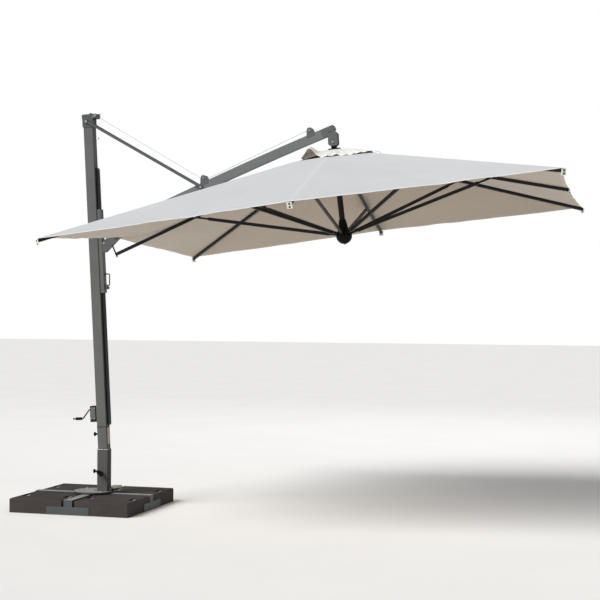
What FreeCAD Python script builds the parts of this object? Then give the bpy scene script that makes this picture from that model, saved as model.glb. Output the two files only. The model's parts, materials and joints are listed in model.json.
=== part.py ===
"""Cantilever patio umbrella: ballasted cross base, turntable, leaning mast with a
sliding carriage, arched boom on tie rods, and a square canopy on eight ribs.

Row frame: millimetres, +Z up, origin on the floor under the turntable's pin, +X
towards the canopy. The mast frame stands on the stub's top and leans away from
the canopy. The canopy frame hangs from the boom's end with its origin at the
fabric's apex.
"""
import FreeCAD, Part
import math
import os
import re
from FreeCAD import Placement, Rotation, Vector

doc = FreeCAD.newDocument("cantilever_umbrella")

# ---------------------------------------------------------------- dimensions
SIZES = {
    # base
    "base_turn": -2.35, "block_side": 505, "block_rise": 125, "block_gap": 114, "block_round": 14,
    "arm_width": 80, "arm_rise": 130, "sheet_gauge": 4, "edge_length": 400, "edge_rise": 70, "edge_gauge": 6,
    "recess_width": 60, "recess_length": 130, "recess_depth": 38, "grip_bar": 10,
    # turntable
    "bearing_radius": 170, "bearing_gauge": 8, "table_radius": 180, "table_gauge": 10, "turn_gap": 0.5,
    "swivel_radius": 12, "swivel_head": 20, "running_gap": 0.05, "table_bolt_radius": 150,
    "pedal_hinge_rise": 22, "pedal_length": 100, "pedal_width": 62, "pedal_gauge": 6,
    # stub and mast
    "stub_offset": 97.6, "stub_gap": 1, "stub_wall": 4, "stub_top": 528, "mast_lean": 3.19,
    "mast_side": 90, "mast_wall": 3.5, "mast_length": 3001, "seam_height": 201, "insert_wall": 4,
    "insert_depth": 210, "spigot_height": 330, "tube_round": 6,
    # rail and carriage
    "rail_low": 216, "rail_high": 2550, "rail_neck": 28, "rail_width": 50, "rail_lip": 11, "rail_reach": 25,
    "rail_chamfer": 18, "carriage_low": 1413, "carriage_high": 2172, "carriage_width": 72,
    "carriage_reach": 37, "carriage_gap": 3, "pad_gap": 0.4, "pad_length": 60,
    "handle_low": 1468, "handle_high": 1582, "handle_reach": 44, "handle_bar": 6,
    # boom
    "boom_pin_reach": 55, "boom_pin_height": 1863, "boom_pin_radius": 6, "lug_width": 24,
    "knee_x": 300, "knee_z": 2012, "boom_end_x": 2160, "boom_end_z": 2695, "boom_arch": 17,
    "boom_depth": 75, "boom_width": 70, "boom_wall": 3, "rod_joint_x": 1045,
    "casting_length": 125, "hanger_radius": 43, "fork_gap": 36,
    "pulley_lift": 33, "pulley_radius": 18,
    "groove_radius": 12, "pulley_width": 12, "rope_radius": 2.5, "rope_gap": 0.3,
    # tie rods
    "rod_top_x": -8, "rod_gap": 1.5, "cheek_gauge": 5.5, "rod_radius": 10, "eye_radius": 16,
    "eye_width": 12, "trunnion_radius": 8,
    # canopy frame
    "canopy_tilt": 6.86, "canopy_half": 2000, "hem_in_x": 43, "hem_in_y": 24, "mast_rib_extra": 106,
    "corner_slope": 12.51, "mid_slope": 17.05, "apex_drop": 67.6, "crown_radius": 50, "crown_drop": 30,
    "rib_width": 20, "rib_depth": 28, "rib_wall": 2, "rib_root": 45, "rib_pin": 3, "lug_gauge": 6, "ear_gap": 0.6,
    "joint_radius": 1330, "strut_width": 18, "strut_depth": 16, "strut_pin": 4, "fork_plate": 4,
    "fork_length": 102, "hub_drop": 745, "ball_sink": 13, "ball_gap": 1.5, "ball_shell": 5, "hub_radius": 70, "hub_tongue": 8,
    "pole_radius": 25, "pole_wall": 4, "collar_length": 90, "collar_radius": 46,
    "fabric_gauge": 1.5, "fabric_lift": 5, "vent_half": 300, "cap_half": 355, "cap_lift": 24, "hem_pull": 42,
    # winch
    "winch_depth": 64, "winch_width": 72, "crank_height": 358,
    "crank_throw": 78, "crank_bar": 6, "drum_drop": 36, "drum_radius": 22, "grip_length": 70,
    "head_pulley_x": 50, "head_groove": 16,
    # knobs
    "knob_radius": 20, "knob_stem": 5, "insert_knob_height": 136, "stub_knob_height": 323,
    "front_knob_height": 315,
}
# sizes that follow from the ones above, so that the fits hold when one of those changes
TIED = {
    "stub_side": "mast_side + 2 * stub_gap + 2 * stub_wall",
    "recess_reach": "block_side / 2 - 52.5",
    "pedal_hinge_x": "table_radius - 15",
    "foot_low": "boom_pin_height - 82",
    "hanger_x": "boom_end_x + 96",
    "hanger_z": "boom_end_z - 77",
    "mid_pulley_x": "rod_joint_x + 45",
    "end_pulley_x": "boom_end_x - 84",
    "rod_spread": "mast_side / 2 + cheek_gauge + rod_gap + rod_radius",
    "rod_top_z": "mast_length - 27",
    "head_pulley_z": "mast_length + 13",
    "rail_stud_z": "rail_high - 209",
    "ear_gauge": "(rib_width - lug_gauge) / 2 - ear_gap",
    "pole_low": "hub_drop + ball_sink - 54",
    "winch_low": "crank_height - 110",
    "winch_high": "crank_height + 35",
}
sheet = doc.addObject("Spreadsheet::Sheet", "Sizes")
for row, alias in enumerate([*SIZES, *TIED], start=1):
    sheet.set(f"A{row}", alias)
    sheet.setAlias(f"B{row}", alias)
    sheet.set(f"B{row}", f"={TIED[alias]}" if alias in TIED else str(SIZES[alias]))
doc.recompute()
ALIASES = re.compile(r"\b(" + "|".join(sorted([*SIZES, *TIED], key=len, reverse=True)) + r")\b")


def size(alias):
    """The sheet's present value of one driving dimension."""
    return float(getattr(sheet, alias))


def bind(obj, prop, formula):
    """Tie a property to the sheet; a formula uses the aliases as plain words."""
    obj.setExpression(prop, ALIASES.sub(r"Sizes.\1", str(formula)))


# ---------------------------------------------------------------- frames
UP, ALONG, ACROSS = Vector(0, 0, 1), Vector(1, 0, 0), Vector(0, 1, 0)


def turned(axis, degrees, at=Vector()):
    return Placement(at, Rotation(axis, degrees))


def moved(x=0.0, y=0.0, z=0.0):
    return Placement(Vector(x, y, z), Rotation())


ROW = Placement()
BASE = turned(UP, size("base_turn"))
STUB = moved(size("stub_offset"), 0, size("stub_top"))
MAST = STUB * turned(ACROSS, -size("mast_lean"))
HANG = size("canopy_tilt") - size("mast_lean")
CANOPY = MAST * turned(ACROSS, -HANG, Vector(size("hanger_x"), 0, size("hanger_z"))) * moved(z=-size("apex_drop"))

# ---------------------------------------------------------------- helpers
NODES = []


def unique(name):
    return name if doc.getObject(name) is None else unique(name + "_")


def box(name, lengths, corner):
    """A box from its three lengths and its lowest corner, all of them formulas."""
    obj = doc.addObject("Part::Box", unique(name))
    for prop, formula in zip(("Length", "Width", "Height"), lengths):
        bind(obj, prop, formula)
    for axis, formula in zip("xyz", corner):
        bind(obj, f".Placement.Base.{axis}", formula)
    return obj


def middle_box(name, lengths, at):
    """A box centred on y = 0, from its lowest x and z."""
    return box(name, lengths, (at[0], f"-({lengths[1]}) / 2", at[1]))


def rod(name, radius, height, at=(0, 0, 0), axis=UP):
    """A cylinder that starts at a point and runs along an axis."""
    obj = doc.addObject("Part::Cylinder", unique(name))
    bind(obj, "Radius", radius)
    bind(obj, "Height", height)
    obj.Placement = Placement(Vector(), Rotation(UP, axis))
    for letter, formula in zip("xyz", at):
        bind(obj, f".Placement.Base.{letter}", formula)
    return obj


def cross_rod(name, radius, width, x, z):
    """A cylinder along y, centred on y = 0."""
    return rod(name, radius, width, (x, f"-({width}) / 2", z), ACROSS)


def fuse(name, *parts):
    obj = doc.addObject("Part::MultiFuse", unique(name))
    obj.Shapes = list(parts)
    return obj


def cut(name, base, *tools):
    obj = doc.addObject("Part::Cut", unique(name))
    obj.Base = base
    obj.Tool = tools[0] if len(tools) == 1 else fuse(name + "_tools", *tools)
    return obj


def group(name, *parts):
    obj = doc.addObject("Part::Compound", unique(name))
    obj.Links = list(parts)
    return obj


def at(obj, placement):
    """Place a primitive or a built piece inside its sub-part's own frame."""
    obj.Placement = placement
    return obj


def copy_at(name, source, placement):
    """A second, placed use of a piece that is already modelled."""
    obj = doc.addObject("Part::Compound", unique(name))
    obj.Links = [source]
    obj.Placement = placement
    return obj


def soften(name, base, radius, wanted):
    """Round the edges that a test picks out."""
    doc.recompute()
    obj = doc.addObject("Part::Fillet", unique(name))
    obj.Base = base
    chosen = [i for i, edge in enumerate(base.Shape.Edges, start=1) if wanted(edge)]
    obj.Edges = [(i, radius, radius) for i in chosen]
    return obj


def runs_up(edge):
    return edge.Curve.TypeId == "Part::GeomLine" and abs(edge.tangentAt(edge.FirstParameter).z) > 0.99


def is_top(height):
    def wanted(edge):
        return all(abs(v.Point.z - height) < 0.01 for v in edge.Vertexes)
    return wanted


def post(name, side, length, low):
    """A square bar with rounded corners that stands on z = low."""
    outer = middle_box(name + "_outer", (side, side, length), (f"-({side}) / 2", low))
    return soften(name, outer, size("tube_round"), runs_up)


def tube(name, side, wall, length, low):
    """A square tube with rounded corners that stands on z = low."""
    inner_side = f"{side} - 2 * ({wall})"
    inner = middle_box(name + "_bore", (inner_side, inner_side, length), (f"-({inner_side}) / 2", low))
    return cut(name, post(name + "_post", side, length, low), inner)


def outline(body, points, radii=None):
    """A closed sketch in the body's XZ plane, with corners rounded where radii say so."""
    sketch = body.newObject("Sketcher::SketchObject", unique(body.Name + "_outline"))
    plane = next(f for f in body.Origin.OriginFeatures if f.Role == "XZ_Plane")
    sketch.AttachmentSupport = [(plane, "")]
    sketch.MapMode = "FlatFace"
    radii = radii or {}
    for piece in rounded_path([Vector(x, z, 0) for x, z in points], radii, closed=True):
        sketch.addGeometry(piece, False)
    return sketch


def rounded_path(points, radii, closed=False):
    """Straight runs and the tangent arcs that join them."""
    count = len(points)
    corners = range(count) if closed else range(1, count - 1)
    starts, ends, arcs = {}, {}, {}
    for i in range(count):
        starts[i] = ends[i] = points[i]
    for i in corners:
        radius = radii.get(i, 0) if isinstance(radii, dict) else radii
        if not radius:
            continue
        here = points[i]
        back = (points[i - 1] - here).normalize()
        on = (points[(i + 1) % count] - here).normalize()
        half = back.getAngle(on) / 2
        reach = radius / math.tan(half)
        centre = here + (back + on).normalize() * (radius / math.sin(half))
        ends[i], starts[i] = here + back * reach, here + on * reach
        arcs[i] = Part.Arc(ends[i], centre + (here - centre).normalize() * radius, starts[i])
    pieces = []
    for i in range(count if closed else count - 1):
        following = (i + 1) % count
        if (ends[following] - starts[i]).Length > 0.01:
            pieces.append(Part.LineSegment(starts[i], ends[following]))
        if following in arcs:
            pieces.append(arcs[following])
    return pieces


def plate(name, points, width, radii=None, offset=0.0):
    """A body padded from an outline in the XZ plane, centred on y = offset."""
    body = doc.addObject("PartDesign::Body", unique(name))
    sketch = outline(body, points, radii)
    pad = body.newObject("PartDesign::Pad", unique(name + "_pad"))
    pad.Profile = sketch
    bind(pad, "Length", width)
    pad.Midplane = True
    sketch.Visibility = False
    body.Placement = moved(y=offset)
    return body


def bar(name, points, radius, bend):
    """A round bar or rope swept along straight runs and tangent arcs."""
    path = Part.Wire([piece.toShape() for piece in rounded_path(points, bend)])
    direction = (points[1] - points[0]).normalize()
    section = Part.Wire([Part.Circle(points[0], direction, radius).toShape()])
    obj = doc.addObject("Part::Feature", unique(name))
    obj.Shape = path.makePipeShell([section], True, False)
    return obj


def node(name, obj, frame):
    """Register a finished sub-part in the frame that it belongs to."""
    obj.Label = name
    obj.Placement = frame * obj.Placement
    NODES.append(obj)
    return obj


def polar(radius, degrees):
    angle = math.radians(degrees)
    return radius * math.cos(angle), radius * math.sin(angle)


# ---------------------------------------------------------------- base
def make_base():
    half = "(block_gap / 2 + block_side)"
    arm = (f"2 * {half}", "arm_width", "arm_rise")
    hollow = (f"2 * {half} - 2 * sheet_gauge", "arm_width - 2 * sheet_gauge", "arm_rise - sheet_gauge")
    quarter = turned(UP, 90)
    outers = [middle_box("arm_long", arm, (f"-{half}", 0))]
    inners = [middle_box("arm_hollow", hollow, (f"-{half} + sheet_gauge", 0))]
    outers.append(copy_at("arm_cross", outers[0], quarter))
    inners.append(copy_at("arm_cross_hollow", inners[0], quarter))
    edge = box("edge_plate", ("edge_gauge", "edge_length", "edge_rise"), (half, "-edge_length / 2", 0))
    edges = [copy_at("edge_plate_turned", edge, turned(UP, 90 * k)) for k in range(4)]
    channels = cut("base_channels", fuse("base_arms", *outers), fuse("base_hollows", *inners))
    sole = middle_box("sole_plate", ("block_gap - 6", "block_gap - 6", "sheet_gauge"), ("-block_gap / 2 + 3", 0))
    node("base_cross", fuse("base_cross", channels, sole, *edges), BASE)

    block = box("block_body", ("block_side", "block_side", "block_rise"), ("block_gap / 2", "block_gap / 2", 0))
    doc.recompute()
    rounded = soften("block_round_sides", block, 10, runs_up)
    rounded = soften("block_round_top", rounded, size("block_round"), is_top(size("block_rise")))
    centre = "(block_gap + block_side) / 2"
    recesses = []
    bars = []
    for side in (-1, 1):
        recesses.append(box("grip_recess", ("recess_width", "recess_length", "recess_depth + 1"),
                            (f"{centre} + {side} * recess_reach - recess_width / 2",
                             f"{centre} - recess_length / 2", "block_rise - recess_depth")))
        bars.append(rod("grip_bar", "grip_bar / 2", "recess_length",
                        (f"{centre} + {side} * recess_reach", f"{centre} - recess_length / 2",
                         "block_rise - grip_bar"), ACROSS))
    block = cut("ballast_block", rounded, *recesses)
    grips = group("block_grips", *bars)
    corners = [moved(), moved(x=-(size("block_gap") + size("block_side")))]
    corners += [moved(y=-(size("block_gap") + size("block_side"))) * corner for corner in corners]
    node("ballast_blocks", group("ballast_blocks", *[copy_at("block_placed", block, c) for c in corners]), BASE)
    node("ballast_grips", group("ballast_grips", *[copy_at("grips_placed", grips, c) for c in corners]), BASE)

    disc = rod("bearing_disc", "bearing_radius", "bearing_gauge", (0, 0, "arm_rise"))
    hole = rod("bearing_hole", "swivel_radius + running_gap", "bearing_gauge", (0, 0, "arm_rise"))
    node("bearing_plate", cut("bearing_plate", disc, hole), BASE)
    table_top = "arm_rise + bearing_gauge + turn_gap + table_gauge"
    shaft = rod("swivel_shaft", "swivel_radius", f"{table_top} + turn_gap - arm_rise", (0, 0, "arm_rise"))
    head = rod("swivel_cap", "swivel_head", 8, (0, 0, f"{table_top} + turn_gap"))
    head = soften("swivel_cap_round", head, 2, is_top(size("arm_rise") + size("bearing_gauge")
                                                     + 2 * size("turn_gap") + size("table_gauge") + 8))
    node("swivel_pin", fuse("swivel_pin", shaft, head), BASE)


# ---------------------------------------------------------------- turntable
TABLE_LOW = "(arm_rise + bearing_gauge + turn_gap)"
TABLE_TOP = "(arm_rise + bearing_gauge + turn_gap + table_gauge)"


def make_turntable():
    disc = rod("table_disc", "table_radius", "table_gauge", (0, 0, TABLE_LOW))
    hole = rod("table_hole", "swivel_radius + running_gap", "table_gauge", (0, 0, TABLE_LOW))
    ears = []
    for side in (-1, 1):
        ear = box("pedal_ear", (26, 6, "pedal_hinge_rise + 9"),
                  ("pedal_hinge_x - 13", f"{side} * 25 - 3", TABLE_TOP))
        eye = rod("pedal_eye", "4 + running_gap", 6,
                  ("pedal_hinge_x", f"{side} * 25 - 3", f"{TABLE_TOP} + pedal_hinge_rise"), ACROSS)
        ears.append(cut("pedal_ear_bored", ear, eye))
    node("turntable_plate", fuse("turntable_plate", cut("table_bored", disc, hole), *ears), ROW)

    wide = tube("stub_blank", "stub_side", "stub_wall", f"stub_top - {TABLE_TOP}", TABLE_TOP)
    at(wide, moved(x=size("stub_offset")))
    gap = "knob_stem + running_gap"
    back = ("stub_offset - stub_side / 2 - 10", 0, "stub_knob_height")
    front = ("stub_offset", "-stub_side / 2 - 10", "front_knob_height")
    bosses = [rod("stub_back_boss", 11, 12, back, ALONG), rod("stub_front_boss", 11, 12, front, ACROSS)]
    bores = [rod("stub_back_bore", gap, 16, back, ALONG), rod("stub_front_bore", gap, 16, front, ACROSS)]
    node("stub_post", cut("stub_bored", fuse("stub_bossed", wide, *bosses), *bores), ROW)

    low = size("arm_rise") + size("bearing_gauge") + size("turn_gap") + size("table_gauge")
    hinge = Vector(size("pedal_hinge_x"), 0, low + size("pedal_hinge_rise"))
    barrel = cross_rod("pedal_barrel", 8, 43, 0, 0)
    pin = cross_rod("pedal_pin", 4, 60, 0, 0)
    tread = middle_box("pedal_tread", ("pedal_length", 43, "pedal_gauge"), (2, 0))
    pad = middle_box("pedal_pad", ("pedal_length - 16", "pedal_width", "pedal_gauge"), (20, 2))
    lip = middle_box("pedal_lip", ("pedal_gauge", "pedal_width", 20), ("pedal_length - 2", -12))
    pedal = fuse("foot_pedal", barrel, pin, tread, pad, lip)
    node("foot_pedal", pedal, Placement(hinge, Rotation(ACROSS, -6)))


def make_knob(name, frame, scale=1.0):
    """A clamp knob: threaded stem along x, mushroom head at its outer end (-x)."""
    radius = size("knob_radius") * scale
    stem = rod(name + "_stem", "knob_stem", 44, (-44, 0, 0), ALONG)
    points = [(-58, 0), (-58, radius * 0.55), (-54, radius * 0.92), (-48, radius), (-43, radius * 0.8),
              (-40, 9), (-26, 8), (-26, 0)]
    body = doc.addObject("PartDesign::Body", unique(name + "_head"))
    sketch = outline(body, points, {2: 3.0, 3: 3.0})
    turn = body.newObject("PartDesign::Revolution", unique(name + "_turn"))
    turn.Profile = sketch
    turn.ReferenceAxis = (sketch, ["H_Axis"])
    turn.Angle = 360.0
    node(name, fuse(name, stem, body), frame)


# ---------------------------------------------------------------- mast
def make_mast():
    leg = at(post("insert_leg", "mast_side", "insert_depth", "-insert_depth"), turned(ACROSS, size("mast_lean")))
    knee = post("insert_knee", "mast_side", "seam_height", 0)
    bore_side = "mast_side - 2 * insert_wall"
    bores = []
    for length, low, lean in (("insert_depth + 20", "-insert_depth - 20", size("mast_lean")),
                              ("seam_height + 21", -1, 0.0)):
        bore = middle_box("insert_bore", (bore_side, bore_side, length), (f"-({bore_side}) / 2", low))
        bores.append(at(group("insert_bore_placed", bore), turned(ACROSS, lean)))
    spigot = tube("insert_spigot", "mast_side - 2 * mast_wall - 1", "insert_wall",
                  "spigot_height - seam_height + 60", "seam_height - 60")
    boss_at = ("-mast_side / 2 - 10", 0, "insert_knob_height")
    boss = rod("insert_boss", 11, 12, boss_at, ALONG)
    bore = rod("insert_knob_bore", "knob_stem + running_gap", 18, boss_at, ALONG)
    shell = cut("insert_shell", cut("insert_lower", fuse("insert_outer", leg, knee), bores[0]), bores[1])
    node("mast_insert", cut("mast_insert", fuse("insert_joined", shell, spigot, boss), bore), MAST)

    profile = tube("mast_tube", "mast_side", "mast_wall", "mast_length - seam_height", "seam_height")
    notch = middle_box("pulley_notch", ("mast_side", "pulley_width + 4", 24), (24, "mast_length - 24"))
    rope_hole = rod("rope_hole", 7, "mast_wall + 4",
                    ("-mast_side / 2 - 2", 0, "crank_height - drum_drop + drum_radius + rope_radius"), ALONG)
    node("mast_profile", cut("mast_profile", profile, notch, rope_hole), MAST)

    half, reach = size("mast_side") / 2, size("rail_reach")
    low, high, chamfer = size("rail_low"), size("rail_high"), size("rail_chamfer")
    side = plate("rail_bar", [(half, low), (half + reach - 4, low), (half + reach, low + chamfer),
                              (half + reach, high - chamfer), (half + reach - 4, high), (half, high)], "rail_width")
    slots = []
    for sign in (-1, 1):
        depth = "(rail_width - rail_neck) / 2"
        slots.append(box("rail_slot", ("rail_lip", depth, "rail_high - rail_low + 2"),
                         ("mast_side / 2", f"{sign} * (rail_neck / 2 + {depth} / 2) - {depth} / 2", "rail_low - 1")))
    node("rail", cut("rail", side, *slots), MAST)


def make_mast_head():
    half = size("mast_side") / 2
    low, top = size("mast_length"), size("mast_length") + 39
    cap = plate("head_cap", [(-half - 8, low), (half + 43, low), (half + 43, top), (-half - 8, top)],
                "mast_side + 2 * cheek_gauge", {1: 12, 2: 12, 3: 10})
    bump = rod("head_bump", 12, 14, (15, 0, "mast_length + 39"))
    cheeks = []
    for sign in (-1, 1):
        cheeks.append(plate("head_cheek", [(-half - 5, low - 80), (half - 4, low - 80), (half + 4, low - 60),
                                           (half + 4, low + 6), (-half - 5, low + 6)],
                            5, {0: 10, 1: 10}, sign * (half + 2.9)))
    spigot_side = "mast_side - 2 * mast_wall - 1"
    spigot = tube("head_spigot", spigot_side, 4, 50, "mast_length - 46")
    slot = middle_box("head_slot", ("mast_side", "pulley_width + 4", 90), (24, "mast_length - 50"))
    roof = middle_box("head_roof", ("mast_side", "pulley_width + 6", 5), (20, "mast_length + 34.5"))
    joined = cut("head_slotted", fuse("head_joined", cap, bump, spigot, *cheeks), slot)
    axle_bore = cross_rod("head_axle_bore", 4, 110, "head_pulley_x", "head_pulley_z")
    node("mast_head", cut("mast_head", fuse("head_roofed", joined, roof), axle_bore), MAST)

    axle = cross_rod("pulley_axle", 4, "mast_side + 2 * cheek_gauge", "head_pulley_x", "head_pulley_z")
    trunnions = []
    for sign in (-1, 1):
        start = f"{sign} * (mast_side / 2 + cheek_gauge - 0.1)"
        width = "rod_spread + eye_width / 2 + 4.1 - mast_side / 2 - cheek_gauge"
        axis = Vector(0, sign, 0)
        trunnions.append(rod("rod_trunnion", "trunnion_radius", width, ("rod_top_x", start, "rod_top_z"), axis))
        trunnions.append(rod("trunnion_head", "trunnion_radius + 3", 5,
                             ("rod_top_x", f"{sign} * (rod_spread + eye_width / 2 + 1)", "rod_top_z"), axis))
    bolts = []
    for k in range(4):
        x, y = polar(1.0, 45 + 90 * k)
        bolt = doc.addObject("Part::Prism", unique("table_bolt"))
        bolt.Polygon = 6
        bind(bolt, "Circumradius", 13)
        bind(bolt, "Height", 9)
        bind(bolt, ".Placement.Base.x", f"{x:.6f} * table_bolt_radius")
        bind(bolt, ".Placement.Base.y", f"{y:.6f} * table_bolt_radius")
        bind(bolt, ".Placement.Base.z", TABLE_TOP)
        bolts.append(bolt)
    studs = [rod("rail_stud", 6, 14, ("mast_side / 2 + rail_reach", 0, "rail_stud_z"), ALONG),
             bar("rope_horn", [Vector(half, 0, 2810), Vector(half + 32, 0, 2810), Vector(half + 42, 0, 2826)], 6, 8)]
    upper = group("mast_upper_pins", axle, *studs)
    paired = [fuse("trunnion", *trunnions[:2]), fuse("trunnion", *trunnions[2:])]
    placed = group("mast_pins_placed", upper, *paired)
    at(placed, MAST)
    node("mast_fasteners", group("mast_fasteners", placed, *bolts), ROW)
    node("head_pulley", pulley("head_pulley", "head_groove + 5", "head_groove"),
         MAST * moved(size("head_pulley_x"), 0, size("head_pulley_z")))


def pulley(name, radius, groove):
    """A rope pulley about y, with a V groove and a running bore."""
    disc = cross_rod(name + "_disc", radius, "pulley_width", 0, 0)
    doc.recompute()
    half = size("pulley_width") / 2
    outer, inner = disc.Radius.Value, groove if isinstance(groove, (int, float)) else size(groove)
    body = doc.addObject("PartDesign::Body", unique(name + "_groove"))
    sketch = body.newObject("Sketcher::SketchObject", unique(name + "_groove_outline"))
    plane = next(f for f in body.Origin.OriginFeatures if f.Role == "XY_Plane")
    sketch.AttachmentSupport = [(plane, "")]
    sketch.MapMode = "FlatFace"
    corners = [Vector(outer + 1, -half + 1.5, 0), Vector(inner, -2, 0), Vector(inner, 2, 0), Vector(outer + 1, half - 1.5, 0)]
    for start, end in zip(corners, corners[1:] + corners[:1]):
        sketch.addGeometry(Part.LineSegment(start, end), False)
    turn = body.newObject("PartDesign::Revolution", unique(name + "_groove_turn"))
    turn.Profile = sketch
    turn.ReferenceAxis = (sketch, ["V_Axis"])
    turn.Angle = 360.0
    bore = cross_rod(name + "_bore", "4 + running_gap", "pulley_width + 2", 0, 0)
    return cut(name, disc, body, bore)


# ---------------------------------------------------------------- winch
def make_winch():
    back = "(-mast_side / 2 - winch_depth)"
    shell = box("winch_shell", ("winch_depth", "winch_width", "winch_high - winch_low"),
                (back, "-winch_width / 2", "winch_low"))
    doc.recompute()
    shell = soften("winch_round", shell, 5, lambda e: e.BoundBox.XMax < -size("mast_side") / 2 - 5
                   and e.Curve.TypeId == "Part::GeomLine")
    hollow = box("winch_hollow", ("winch_depth", "winch_width - 6", "winch_high - winch_low - 6"),
                 (f"{back} + 3", "-winch_width / 2 + 3", "winch_low + 3"))
    shaft_bore = rod("winch_bore", "crank_bar + running_gap", 12, (f"{back} - 6", 0, "crank_height"), ALONG)
    node("winch_housing", cut("winch_housing", shell, hollow, shaft_bore), MAST)

    centre = Vector(-size("mast_side") / 2 - size("winch_depth") / 2, 0, size("crank_height") - size("drum_drop"))
    core = cross_rod("drum_core", "drum_radius - 5", 44, 0, 0)
    rope = cross_rod("drum_winding", "drum_radius", 34, 0, 0)
    flanges = [rod("drum_flange", "drum_radius + 2", 4, (0, f"{s} * 19 - 2", 0), ACROSS) for s in (-1, 1)]
    node("winch_drum", fuse("winch_drum", core, rope, *flanges), MAST * Placement(centre, Rotation()))

    start, out = centre.x + 22, -size("mast_side") / 2 - size("winch_depth") - 20
    throw, grip = size("crank_throw"), size("grip_length")
    path = [Vector(start, 0, 0), Vector(out, 0, 0), Vector(out - 62, 0, -throw), Vector(out - 68 - grip - 14, 0, -throw)]
    lever = bar("crank_rod", path, size("crank_bar"), 16)
    worm = rod("crank_worm", 9, 34, (centre.x - 17, 0, 0), ALONG)
    stop = rod("crank_stop", 9, 4, (out - 68 - grip - 18, 0, -throw), ALONG)
    node("crank", fuse("crank", lever, worm, stop), MAST * moved(z=size("crank_height")))
    sleeve = rod("grip_sleeve", 13, "grip_length - 8", (out - 64 - grip, 0, -throw), ALONG)
    doc.recompute()
    sleeve = soften("grip_round", sleeve, 4, lambda e: e.Curve.TypeId == "Part::GeomCircle")
    bore = rod("grip_bore", "crank_bar + running_gap", "grip_length + 10", (out - 66 - grip, 0, -throw), ALONG)
    node("crank_grip", cut("crank_grip", sleeve, bore), MAST * moved(z=size("crank_height")))


# ---------------------------------------------------------------- carriage
def make_carriage():
    gap = "carriage_gap"
    body = middle_box("carriage_body", ("carriage_reach - carriage_gap", "carriage_width", "carriage_high - carriage_low"),
                      (f"mast_side / 2 + {gap}", "carriage_low"))
    doc.recompute()
    body = soften("carriage_round", body, 4, lambda e: runs_up(e) and e.BoundBox.XMin > size("mast_side") / 2 + 10)
    head = middle_box("carriage_bore", (f"rail_reach - rail_lip + 2 * {gap}", f"rail_width + 2 * {gap}",
                                        "carriage_high - carriage_low + 2"),
                      (f"mast_side / 2 + rail_lip - {gap}", "carriage_low - 1"))
    neck = middle_box("carriage_mouth", ("rail_lip", "rail_neck + 4", "carriage_high - carriage_low + 2"),
                      ("mast_side / 2 - 1", "carriage_low - 1"))
    lug = middle_box("carriage_lug", ("boom_pin_reach - carriage_reach + 4", "lug_width", 26),
                     ("mast_side / 2 + carriage_reach - 4", "boom_pin_height - 13"))
    eye = cross_rod("carriage_eye", 13, "lug_width", "mast_side / 2 + boom_pin_reach", "boom_pin_height")
    bore = cross_rod("carriage_eye_bore", "boom_pin_radius", "lug_width + 2",
                     "mast_side / 2 + boom_pin_reach", "boom_pin_height")
    channel = cut("carriage_channel", body, head, neck)
    node("slider_carriage", cut("slider_carriage", fuse("carriage_lugged", channel, lug, eye), bore), MAST)

    pads = []
    for low in ("carriage_low + 4", "carriage_high - 4 - pad_length"):
        outer = middle_box("pad_outer", (f"rail_reach - rail_lip + 2 * {gap}", f"rail_width + 2 * {gap}", "pad_length"),
                           (f"mast_side / 2 + rail_lip - {gap}", low))
        inner = middle_box("pad_inner", ("rail_reach - rail_lip + 2 * pad_gap", "rail_width + 2 * pad_gap", "pad_length"),
                           ("mast_side / 2 + rail_lip - pad_gap", low))
        mouth = middle_box("pad_mouth", (8, "rail_neck + 4", "pad_length"), ("mast_side / 2 + rail_lip - 6", low))
        pads.append(cut("glide_pad", outer, inner, mouth))
    node("glide_pads", group("glide_pads", *pads), MAST)

    face = size("mast_side") / 2 + size("carriage_reach")
    low, high, reach = size("handle_low"), size("handle_high"), size("handle_reach")
    loop = bar("handle_loop", [Vector(face, 0, high), Vector(face + reach, 0, high),
                               Vector(face + reach - 4, 0, low + 14), Vector(face + 18, 0, low)], size("handle_bar"), 12)
    block = middle_box("handle_block", (24, 30, 42), (face, "handle_low - 24"))
    seat = rod("handle_seat", 12, 8, (face, 0, "handle_high"), ALONG)
    bore = rod("latch_bore", "7 + running_gap", 18, (face + 7, 0, "handle_low - 12"), ALONG)
    node("slider_handle", cut("slider_handle", fuse("handle_joined", loop, block, seat), bore), MAST)
    button = rod("latch_stem", 7, 20, (face + 12, 0, "handle_low - 12"), ALONG)
    cap = rod("latch_cap", 9, 4, (face + 32, 0, "handle_low - 12"), ALONG)
    node("handle_latch", fuse("handle_latch", button, cap), MAST)

    pin = cross_rod("boom_pin", "boom_pin_radius", "boom_width + 1", "mast_side / 2 + boom_pin_reach", "boom_pin_height")
    heads = [rod("boom_pin_head", "boom_pin_radius + 4", 5,
                 ("mast_side / 2 + boom_pin_reach", f"{s} * (boom_width / 2 + 0.5)", "boom_pin_height"),
                 Vector(0, s, 0)) for s in (-1, 1)]
    node("boom_pivot_pin", fuse("boom_pivot_pin", pin, *heads), MAST)


# ---------------------------------------------------------------- boom
def pivot():
    return Vector(size("mast_side") / 2 + size("boom_pin_reach"), 0, size("boom_pin_height"))


def boom_ends():
    return Vector(size("knee_x"), 0, size("knee_z")), Vector(size("boom_end_x"), 0, size("boom_end_z"))


def boom_circle():
    """Centre and radius of the boom's gentle arch, from its chord and its rise."""
    start, end = boom_ends()
    chord, rise = end - start, size("boom_arch")
    radius = (chord.Length / 2) ** 2 / (2 * rise) + rise / 2
    up = Vector(-chord.z, 0, chord.x).normalize()
    return start + chord / 2 - up * (radius - rise), radius


def on_boom(x, lift=0.0):
    """The point of the boom's centre line at a mast-frame x, raised square to it."""
    centre, radius = boom_circle()
    here = Vector(x, 0, centre.z + math.sqrt(radius ** 2 - (x - centre.x) ** 2))
    return here + (here - centre).normalize() * lift


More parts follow.
